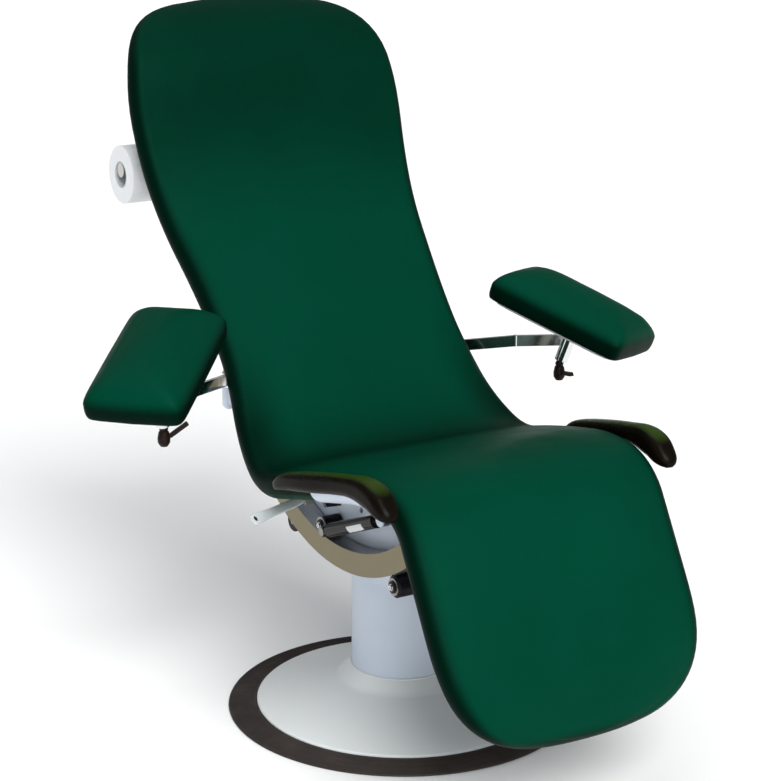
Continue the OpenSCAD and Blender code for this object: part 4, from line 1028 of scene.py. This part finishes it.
@dataclass
class ArmPad:
    """The crowned cushion of an arm pad, where its CAD node stands at rest."""

    side: str
    turn_deg: float
    lift: float
    swing_deg: float = 0.0
    width: float = 0.196
    length: float = 0.327
    wall: float = 0.0305
    dome: float = 0.0562
    foot: float = 0.0050
    roll: float = 1.53
    bend: tuple[float, float] = (1.8, 3.45)
    bow: float = 0.03
    board_t: float = 0.006
    up: float = 0.042
    shift: float = 0.0125
    play: float = 0.0003
    power: float = 15.0
    sleeve: tuple[float, float, float] = (0.467, 0.1035, 0.659)
    pivot: tuple[float, float] = (0.240, 0.274)
    lean_deg: float = 13.0
    fore_deg: float = 13.5
    wall_steps: tuple[tuple[float, float], ...] = (
        (1.5, 0.004), (1.0, 0.0), (0.72, 0.03), (0.45, 0.12), (0.2, 0.28), (0.05, 0.48), (0.0, 0.65),
        (0.0, 0.84), (0.0, 1.0))
    seeds: dict[str, int] = field(default_factory=lambda: {"left": 5, "right": 8})
    around: int = 168
    crown_rows: int = 46
    crown_power: float = 2.1
    welt: tuple[float, float, float] = (0.60, 0.74, 0.07)
    welt_h: float = 0.0008
    wave_h: float = 0.0007
    wave_length: float = 0.13

    def place(self, local: np.ndarray) -> np.ndarray:
        """Returns points of the pad's own frame in the chair's frame."""
        t, lean, fore = (math.radians(v) for v in (self.turn_deg, self.lean_deg, self.fore_deg))
        turn = np.array([[math.cos(t), -math.sin(t), 0], [math.sin(t), math.cos(t), 0], [0, 0, 1]])
        (cf, sf), (cl, sl) = ((math.cos(v), math.sin(v)) for v in (fore, lean))
        about_x = np.array([[1, 0, 0], [0, cf, -sf], [0, sf, cf]])
        about_y = np.array([[cl, 0, sl], [0, 1, 0], [-sl, 0, cl]])
        moved = (local + np.array([0, self.shift, 0])) @ (about_y @ about_x @ turn).T
        height = self.lift + self.up + self.board_t + self.play
        axis = about_y @ about_x @ np.array([0, 0, 1])
        moved = moved + np.array(self.sleeve) + axis * height
        swing = math.radians(self.swing_deg)
        about_z = np.array([[math.cos(swing), -math.sin(swing)], [math.sin(swing), math.cos(swing)]])
        moved[:, :2] = (moved[:, :2] - self.pivot) @ about_z.T + self.pivot
        moved[:, 0] *= mirror_sign(self.side)
        return moved

    def ring(self, across: float, along: float, power: float, z: float) -> np.ndarray:
        """Returns a rounded outline at a height in the pad's own frame.

        Args:
            across: Its half width.
            along: Its half length.
            power: How square it is, from 2 for an ellipse.
            z: Its height above the board.
        """
        angle = np.linspace(0, 2 * math.pi, self.around, endpoint=False)
        x, y = superellipse(angle, power)
        bowed_x = x * across * (1 - self.bow * 0.4 * (y * along * 2 / self.length) ** 2)
        bowed_y = y * along * (1 - self.bow * (x * across * 2 / self.width) ** 2)
        return np.stack([bowed_x, bowed_y, np.full_like(x, z)], axis=1)

    def shade(self, z: float) -> float:
        """Returns the painted shade on the cover at a height: most on the wall, none on the crown."""
        return 1 - smooth_step((z - self.wall * 0.75) / (self.dome * 0.5))

    def build(self) -> None:
        """Builds the cushion: an upright wall that rolls over into one smooth crown."""
        a, b, wall = self.width / 2, self.length / 2, self.wall
        rings = [self.ring(a - self.foot * d, b - self.foot * d, self.power, wall * z)
                 for d, z in self.wall_steps]
        waves = Waves(self.seeds[self.side])
        ridge, dip, spread = self.welt
        for h in np.sin(np.linspace(0.04, math.pi / 2 - 0.03, self.crown_rows)):
            left = 1 - h**self.roll
            power = self.crown_power + (self.power - self.crown_power) * (1 - h)
            ring = self.ring(a * left ** (1 / self.bend[0]), b * left ** (1 / self.bend[1]), power,
                             wall + self.dome * h)
            welt = bell(h, ridge, spread) - 0.8 * bell(h, dip, spread)
            soft = waves.at(ring[:, 0], ring[:, 1], self.wave_length) * smooth_step(h)
            ring[:, 2] += self.welt_h * welt + self.wave_h * soft
            rings.append(ring)
        # Each vertex keeps its painted shade, most on the wall and none on the crown.
        shade_shares = np.concatenate([np.full(len(r), self.shade(float(r[:, 2].mean()))) for r in rings])
        tips = np.array([[0, 0, 0], [0, 0, rings[-1][:, 2].mean() + 0.00005]])
        rings = [self.place(r) for r in rings]
        made = loft(f"pad_cover_{self.side}", rings, self.place(tips), f"pad_{self.side}", "green_vinyl")
        paint_shade(made, np.concatenate([0.9 * shade_shares, [1.0, 0.0]]))
        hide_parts(f"pad_cushion_{self.side}")


# Paper roll


@dataclass
class PaperRoll:
    """Crepe paper wound on its core, with uneven winds on its ends and a loose last turn."""

    radius: float = 0.061
    core: float = 0.0275
    length: float = 0.590
    y: float = 0.641
    z: float = 1.011
    winds: int = 15
    around: int = 96
    seed: int = 3
    wind_depth: float = 0.0007
    sag: float = 0.0006
    rim_steps: tuple[tuple[float, float], ...] = ((0.0004, 0.0009), (0.0001, 0.0022))
    tail_turns: tuple[float, float] = (196, 228)
    tail_steps: int = 14
    tail_t: float = 0.0004

    def build(self) -> None:
        """Builds the wound paper as one turned solid whose ends step in and out."""
        draw = np.random.default_rng(self.seed)
        radii = np.linspace(self.core + 0.0003, self.radius - 0.0012, self.winds * 2)
        depth = draw.uniform(0, self.wind_depth, self.winds)
        end = [(r, self.length / 2 - 0.0004 - depth[i // 2]) for i, r in enumerate(radii)]
        skin = [(self.radius - down, self.length / 2 - back) for down, back in self.rim_steps]
        upper = end + skin
        profile = upper + [(r, -h) for r, h in reversed(upper)]
        points, faces = lathe(profile, self.around)
        across = points[:, 2].copy()
        angle = np.arctan2(points[:, 1], points[:, 0])
        reach = np.hypot(points[:, 0], points[:, 1])
        outer = reach > self.radius - self.sag
        reach = reach - np.where(outer, self.sag * (0.5 + 0.5 * np.sin(angle * 2 + 0.7)), 0)
        placed = np.stack([across, self.y + reach * np.cos(angle), self.z + reach * np.sin(angle)], axis=1)
        made = piece("paper_winds", placed, outward(placed, faces), "roll", "white_paper", sharp_deg=30)
        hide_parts("paper_roll")
        self.tail()

    def tail(self) -> None:
        """Builds the loose end of the last turn, a thin sheet that lies on the roll."""
        turns = np.radians(np.linspace(*self.tail_turns, self.tail_steps))
        lift = 0.0002 + 0.0007 * smooth_step(np.linspace(-0.2, 1, self.tail_steps))
        half = self.length / 2 - 0.003
        rings = []
        for t, up in zip(turns, lift):
            low = self.radius - 0.0013 + up
            corners = ((-half, low), (half, low), (half, low + self.tail_t), (-half, low + self.tail_t))
            y, z = math.cos(t), math.sin(t)
            rings.append(np.array([(x, self.y + r * y, self.z + r * z) for x, r in corners]))
        capped("paper_tail", rings, "roll", "white_paper", 40.0)


# Pedestal


@dataclass
class Pedestal:
    """The ribbed rubber ring that the chair stands on."""

    ring_r: float = 0.350
    ring_w: float = 0.058
    ring_h: float = 0.012
    ribs: int = 26
    rib_depth: float = 0.0006
    steps: int = 4
    around: int = 200

    def build(self) -> None:
        """Builds the ribbed ring as one turned shape."""
        inner = self.ring_r - self.ring_w
        slope_h = self.ring_h / 2
        start, end = inner + self.ring_h / 2, self.ring_r - self.ring_h / 6 - 0.002
        face = []
        count = self.ribs * self.steps
        for k in range(count + 1):
            u = k / count
            wave = 0.5 - 0.5 * math.cos(2 * math.pi * k / self.steps)
            dip = self.rib_depth * wave if 0 < k < count else 0
            face.append((start + u * (end - start), self.ring_h - 0.0001 - u * slope_h - dip))
        rim = [(self.ring_r - 0.0018, slope_h - 0.0006), (self.ring_r - 0.0006, slope_h * 0.7),
               (self.ring_r, self.ring_h / 4), (self.ring_r - 0.0012, 0.0008),
               (self.ring_r - self.ring_h / 4, 0)]
        profile = [(inner, 0), (inner, self.ring_h - 0.0008), (inner + 0.0012, self.ring_h), *face, *rim]
        points, faces = lathe(profile, self.around)
        made = piece("ring_tread", points, faces, "base", "ring_rubber", sharp_deg=50)
        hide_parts("base_ring")


# Fittings under the seat


@dataclass
class SideGear:
    """Small parts: the armrests' brackets, dark sheets of painted shade behind the plates' windows, the
    lever, the label and the caps' bolts.
    """

    shell: Shell
    bracket_t: float = 0.003
    skin_gap: float = 0.0006
    flange_reach: float = 0.040
    bracket_search: tuple[float, float, int] = (1.1, 1.7, 241)
    bracket_rows: int = 25
    bend_steps: int = 9
    lever_at: tuple[float, float, float] = (-0.232, -0.020, 0.4815)
    lever_len: float = 0.118
    lever_t: float = 0.0042
    lever_droop: float = 12.0
    lever_roll: float = 33.0
    lever_rows: int = 60
    lever_around: int = 40
    lever_power: float = 4.5
    rib_h: float = 0.0007
    slot_rise: float = 0.0003
    lever_widths: tuple[tuple[float, float], ...] = (
        (0.00, 0.0130), (0.10, 0.0175), (0.24, 0.0200), (0.48, 0.0198), (0.62, 0.0196), (0.76, 0.0220),
        (0.88, 0.0256), (0.95, 0.0262), (0.985, 0.0215), (1.0, 0.0130))
    slot_widths: tuple[tuple[float, float], ...] = (
        (0.905, 0.0030), (0.915, 0.0062), (0.928, 0.0078), (0.941, 0.0062), (0.951, 0.0030))
    # Corners, gap and thickness of the dark sheets of painted shade behind the side plates' windows.
    shade_sheet_corners: tuple[tuple[float, float], ...] = (
        (0.150, 0.440), (0.148, 0.385), (0.040, 0.372), (-0.060, 0.405), (-0.060, 0.445), (0.040, 0.448))
    shade_sheet_gap: float = 0.0008
    shade_sheet_t: float = 0.0012
    spring_r: float = 0.014
    label_span: tuple[float, float] = (0.111, 0.171)
    label_turns: tuple[float, float] = (-62, 0)
    label_rows: tuple[int, int] = (9, 13)
    label_skin: tuple[float, float] = (0.00045, 0.0001)
    seal: tuple[tuple[float, float], ...] = (
        (0.0082, 0.0), (0.0124, 0.0), (0.0120, 0.0012), (0.0086, 0.0012))
    seal_depth: float = 0.0030
    seal_around: int = 40
    least_cap: float = 0.02
    bolt_sizes: dict[str, float] = field(default_factory=lambda: {"Radius": 0.0048, "Height": 0.0030})

    def build(self) -> None:
        """Builds every fitting."""
        for side in SIDES:
            self.bracket(side)
            self.shade_sheet(side)
        self.lever()
        self.label()
        self.bolts()

    def underside(self, s: float) -> np.ndarray:
        """Returns the point (y, z) of the shell's back at s."""
        return self.shell.on(0, s, -self.shell.edge)[1:]

    def bracket(self, side: str) -> None:
        """Builds an armrest's bracket: a plate bent round the shell's edge, with a tongue under it."""
        node = f"armrest_bracket_{side}"
        points = np.array([v.co for v in frame["nodes"][node].data.vertices], float)
        middle = (points.min(0) + points.max(0)) / 2
        fine = np.linspace(*self.bracket_search)
        backs = np.array([self.underside(s) for s in fine])
        s0 = float(fine[np.argmin(np.abs(backs[:, 0] - middle[1]))])
        a = self.shell.slope(s0)
        along, up = np.array([-math.cos(a), math.sin(a)]), np.array([math.sin(a), math.cos(a)])
        origin = self.underside(s0)
        t_all, n_all = (points[:, 1:] - origin) @ along, (points[:, 1:] - origin) @ up
        top, first, last = n_all.max(), t_all.min(), t_all.max()
        curve_t, curve_n = (backs - origin) @ along, (backs - origin) @ up
        steps = np.linspace(first, last, self.bracket_rows)
        backs_at = np.interp(steps, curve_t, curve_n)
        sign = mirror_sign(side)
        bend = np.radians(np.linspace(0, -90, self.bend_steps))
        near = self.shell.edge + self.skin_gap
        far = near + self.bracket_t
        rings = []
        for t, back in zip(steps, backs_at):
            half = self.shell.half_width(float(np.interp(t, curve_t, fine)))
            core, level = half - self.shell.edge, back + self.shell.edge
            outer = [(core + far * math.cos(b), level + far * math.sin(b)) for b in bend]
            inner = [(core + near * math.cos(b), level + near * math.sin(b)) for b in bend[::-1]]
            tongue = [(core - self.flange_reach, level - far), (core - self.flange_reach, level - near)]
            ring = [(core + far, top), *outer, *tongue, *inner, (core + near, top)]
            rings.append(np.array([[sign * q, *(origin + along * t + up * m)] for q, m in ring]))
        made = capped(f"bracket_plate_{side}", rings, "seat", "grey_paint", 25.0)
        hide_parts(node)

    def shade_sheet(self, side: str) -> None:
        """Builds a dark sheet of painted shade behind a side plate's window and hole."""
        low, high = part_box(f"side_plate_{side}")
        inner = min(abs(low[0]), abs(high[0]))
        sign = mirror_sign(side)
        x = sign * (inner - self.shade_sheet_gap)
        rings = [np.array([(x - sign * grow, y, z) for y, z in self.shade_sheet_corners])
                 for grow in (0.0, self.shade_sheet_t)]
        ends = (rings[0].mean(0), rings[1].mean(0))
        loft(f"plate_liner_{side}", rings, ends, "base", "roller_black", sharp_deg=25)

    def lever_point(self, local: np.ndarray) -> np.ndarray:
        """Returns points of the lever's own frame in the chair's frame."""
        roll, droop = math.radians(self.lever_roll), math.radians(self.lever_droop)
        y = local[:, 1] * math.cos(roll) - local[:, 2] * math.sin(roll)
        z = local[:, 1] * math.sin(roll) + local[:, 2] * math.cos(roll)
        x = -local[:, 0]
        turned = [x * math.cos(droop) - z * math.sin(droop), y, x * math.sin(droop) + z * math.cos(droop)]
        return np.stack(turned, axis=1) + np.array(self.lever_at)

    def lever(self) -> None:
        """Builds the release lever: a flat strap that widens to a slotted tip."""
        table = np.array(self.lever_widths)
        angle = np.linspace(0, 2 * math.pi, self.lever_around, endpoint=False)
        across, up = superellipse(angle, self.lever_power)
        rings = []
        for share in np.linspace(0.0, 1.0, self.lever_rows):
            w = float(np.interp(share, table[:, 0], table[:, 1])) / 2
            t = self.lever_t / 2 * (1 + 0.25 * (1 - share)) * (1 if share < 0.96 else 1 - 9 * (share - 0.96))
            rib = self.rib_h * bell(across, 0.0, 0.45) * (up > 0) * smooth_step((0.72 - share) / 0.1)
            out = np.full_like(across, share * self.lever_len)
            rings.append(np.stack([out, across * w, up * t + rib], axis=1))
        tips = [rings[0].mean(0) - (0.0015, 0, 0), rings[-1].mean(0) + (0.0012, 0, 0)]
        rings = [self.lever_point(r) for r in rings]
        made = loft("lever_strap", rings, self.lever_point(np.array(tips)), "lever_body", "lever_alloy")
        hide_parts("release_lever")
        slot = []
        for share, w in self.slot_widths:
            out = np.full_like(across, share * self.lever_len)
            slot.append(np.stack([out, across * w, up * (self.lever_t / 2 + self.slot_rise)], axis=1))
        ends = [slot[0].mean(0) - (0.0006, 0, 0), slot[-1].mean(0) + (0.0006, 0, 0)]
        slot = [self.lever_point(r) for r in slot]
        loft("lever_slot", slot, self.lever_point(np.array(ends)), "lever_body", "knob_black")

    def label(self) -> None:
        """Builds the blank label, a thin sheet bent round the gas spring."""
        skin_points = np.array([v.co for v in frame["nodes"]["spring_cylinder"].data.vertices], float)
        stud = np.mean(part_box("spring_stud"), axis=0)
        reach = np.linalg.norm(skin_points[:, 1:] - stud[1:], axis=1)
        far = skin_points[reach > reach.max() - 0.03]
        front = (far.min(0) + far.max(0)) / 2
        rear = np.array([front[0], stud[1], stud[2]])
        axis = (front - rear) / np.linalg.norm(front - rear)
        out = np.array([-1.0, 0, 0])
        up = np.cross(out, axis)
        up *= 1 if up[2] > 0 else -1
        along, around = self.label_rows
        turns = np.radians(np.linspace(*self.label_turns, around))
        outer, inner = (self.spring_r + lift for lift in self.label_skin)
        rings = []
        for d in np.linspace(*self.label_span, along):
            skin = [rear + axis * d + r * (out * math.cos(t) + up * math.sin(t))
                    for r, order in ((outer, turns), (inner, turns[::-1])) for t in order]
            rings.append(np.array(skin))
        ends = (rings[0][6:20].mean(0), rings[-1][6:20].mean(0))
        loft("spring_label", rings, ends, "spring_cylinder_body", "label_pale", sharp_deg=25)

    def bolts(self) -> None:
        """Builds the dark seals and the bolts on the rollers' caps."""
        places, ways, seals, faces = [], [], [], []
        ring, quads = lathe(self.seal, self.seal_around)
        for points in islands("roller_caps"):
            low, high = points.min(0), points.max(0)
            if high[1] - low[1] < self.least_cap:
                continue
            out = 1 if low[0] > 0 else -1
            face = high[0] if out > 0 else low[0]
            centre = (low + high) / 2
            places.append((face, centre[1], centre[2]))
            ways.append((out, 0, 0))
            depth = face - out * (self.seal_depth - ring[:, 2])
            turned = np.stack([depth, centre[1] + ring[:, 0], centre[2] + ring[:, 1]], axis=1)
            faces += [tuple(i + len(ring) * len(seals) for i in q) for q in outward(turned, quads)]
            seals.append(turned)
        piece("cap_seals", np.vstack(seals), faces, "base", "roller_black")
        bolts = screw_pattern("bolt_steel")
        bolts.grow("cap_bolts", marks(places, ways), self.bolt_sizes, "base", "fastener_steel")


# Carried-over metal


def islands(node: str) -> list[np.ndarray]:
    """Returns the points of each separate solid in a CAD node."""
    mesh = frame["nodes"][node].data
    points = np.array([v.co for v in mesh.vertices], float)
    keys = {tuple(p): i for i, p in enumerate(np.round(points, 6))}
    merged = [keys[tuple(p)] for p in np.round(points, 6)]
    parent = list(range(len(points)))

    def root(i: int) -> int:
        """Returns the first point of the solid that point i is on."""
        while parent[i] != i:
            parent[i] = parent[parent[i]]
            i = parent[i]
        return i

    for polygon in mesh.polygons:
        ids = [merged[v] for v in polygon.vertices]
        for other in ids[1:]:
            parent[root(other)] = root(ids[0])
    groups: dict[int, list[int]] = {}
    for i in range(len(points)):
        groups.setdefault(root(merged[i]), []).append(i)
    return [points[g] for g in groups.values()]


@dataclass
class Carried:
    """CAD nodes whose shape is right: they keep it and get a better finish."""

    finish_of: dict[str, str] = field(default_factory=lambda: {
        "arc_rail": "satin_steel", "front_beam": "tube_steel", "rear_cross_tube": "tube_steel",
        "rail_flanges": "tube_steel", "lever_bracket": "tube_steel", "roll_holder": "tube_steel",
    })

    def build(self) -> None:
        """Dresses every CAD node that is still shown, and shades its round faces smooth."""
        slots = {p["node"]: p["material_slot"] for p in frame["record"]["subparts"]}
        rounding = rounding_tree()
        for name, node in frame["nodes"].items():
            kind = name.removesuffix("_left").removesuffix("_right")
            dress(node, self.finish_of.get(kind, slots[name]))
            node.modifiers.new("rounding", "NODES").node_group = rounding


# Studio


@dataclass
class Studio:
    """A pale floor, soft lights and a camera at the photograph's viewpoint."""

    stand: tuple[float, float, float] = (-2.185, -3.503, 1.838)
    yaw_deg: float = -30.8
    pitch_deg: float = 16.1
    focal_px: float = 2198.0
    image: tuple[int, int] = (780, 781)
    middle: tuple[float, float] = (360.0, 396.0)
    room_tint: Colour = (0.94, 0.97, 1.0)
    room_strength: float = 0.30
    floor_reach: float = 60.0
    floor_tones: tuple[Colour, Colour] = ((0.93, 0.93, 0.93), (0.90, 0.90, 0.90))

    def build(self) -> None:
        """Builds the camera, the lights and the floor."""
        bpy.context.scene.view_settings.view_transform = "Standard"
        self.camera()
        self.sky_light("key", (-0.12, -0.78, 0.66), 40.0, 3.5, (1.0, 0.995, 0.98))
        self.sky_light("top", (-0.30, 0.20, 1.0), 60.0, 0.9, (0.97, 0.985, 1.0))
        self.light("front", (-1.9, -2.6, 1.0), (0.1, 0.0, 0.5), 1.6, 16.0, (0.97, 0.985, 1.0))
        self.world()
        self.floor()

    def camera(self) -> None:
        """Places the camera by the solved viewpoint."""
        a, e = math.radians(self.yaw_deg), math.radians(self.pitch_deg)
        back = Vector((math.sin(a) * math.cos(e), -math.cos(a) * math.cos(e), math.sin(e)))
        data = bpy.data.cameras.new("camera")
        data.sensor_width = 36.0
        longest = max(self.image)
        data.lens = self.focal_px * data.sensor_width / longest
        data.shift_x = (self.image[0] / 2 - self.middle[0]) / longest
        data.shift_y = (self.middle[1] - self.image[1] / 2) / longest
        data.clip_end = 100.0
        camera = bpy.data.objects.new("camera", data)
        camera.location = self.stand
        camera.rotation_mode = "QUATERNION"
        camera.rotation_quaternion = (-back).to_track_quat("-Z", "Y")
        bpy.context.scene.collection.objects.link(camera)
        bpy.context.scene.camera = camera

    @staticmethod
    def light(name: str, at: Sequence[float], aim: Sequence[float], size: float, power: float,
              tint: Colour) -> None:
        """Adds one soft square light.

        Args:
            name: The light's name.
            at: Where it hangs.
            aim: The point that it faces.
            size: The length of its side.
            power: Its power in watts.
            tint: Its colour.
        """
        data = bpy.data.lights.new(name, "AREA")
        data.size, data.energy, data.color = size, power, tint
        Studio.hang(data, Vector(at) - Vector(aim)).location = at

    @staticmethod
    def sky_light(name: str, toward: Sequence[float], spread_deg: float, power: float, tint: Colour) -> None:
        """Adds one wide, even light that comes from far away.

        Args:
            name: The light's name.
            toward: The direction in which it hangs.
            spread_deg: How wide it looks from the chair, in degrees.
            power: Its power on a surface that faces it.
            tint: Its colour.
        """
        data = bpy.data.lights.new(name, "SUN")
        data.angle, data.energy, data.color = math.radians(spread_deg), power, tint
        Studio.hang(data, Vector(toward))

    @staticmethod
    def hang(data: bpy.types.Light, back: Vector) -> bpy.types.Object:
        """Links a light that shines against a direction, and returns its object."""
        lamp = bpy.data.objects.new(data.name, data)
        lamp.rotation_mode = "QUATERNION"
        lamp.rotation_quaternion = back.to_track_quat("Z", "Y")
        bpy.context.scene.collection.objects.link(lamp)
        return lamp

    def world(self) -> None:
        """Makes the surroundings: a white backdrop to the eye, a dimmer room to the surfaces."""
        world = bpy.data.worlds.new("studio")
        world.use_nodes = True
        tree = world.node_tree
        room = tree.nodes["Background"]
        room.inputs["Color"].default_value = (*self.room_tint, 1.0)
        room.inputs["Strength"].default_value = self.room_strength
        backdrop = tree.nodes.new("ShaderNodeBackground")
        backdrop.inputs["Color"].default_value = (1.0, 1.0, 1.0, 1.0)
        eye = tree.nodes.new("ShaderNodeLightPath")
        both = tree.nodes.new("ShaderNodeMixShader")
        tree.links.new(eye.outputs["Is Camera Ray"], both.inputs[0])
        tree.links.new(room.outputs[0], both.inputs[1])
        tree.links.new(backdrop.outputs[0], both.inputs[2])
        tree.links.new(both.outputs[0], tree.nodes["World Output"].inputs[0])
        bpy.context.scene.world = world

    def floor(self) -> None:
        """Makes the plain pale floor."""
        reach = self.floor_reach
        mesh = bpy.data.meshes.new("floor")
        corners = [(-reach, -reach, 0), (reach, -reach, 0), (reach, reach, 0), (-reach, reach, 0)]
        mesh.from_pydata(corners, [], [(0, 1, 2, 3)])
        floor = bpy.data.objects.new("floor", mesh)
        bpy.context.scene.collection.objects.link(floor)
        g = Graph("floor")
        tone = g.noise(g.place(), 1.5, 3.0)
        g.set(Base_Color=g.blend(tone, *self.floor_tones), Roughness=0.85)
        floor.data.materials.append(g.material)
        floor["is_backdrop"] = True


def main() -> None:
    """Builds the studio and the chair, piece by piece, and logs how many faces each shown piece has."""
    logging.basicConfig(level=logging.INFO, format="%(name)s: %(message)s")
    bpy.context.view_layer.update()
    Studio().build()
    Carried().build()
    Pedestal().build()
    Shell().build()
    for side in SIDES:
        Armrest(side).build()
    ArmPad("left", turn_deg=28.5, lift=0.0).build()
    ArmPad("right", turn_deg=45.0, lift=0.0245, swing_deg=1.0).build()
    PaperRoll().build()
    SideGear(Shell()).build()
    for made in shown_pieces():
        LOG.info("%s: %d faces", made.name, len(made.data.polygons))


if __name__ == "__main__":
    main()
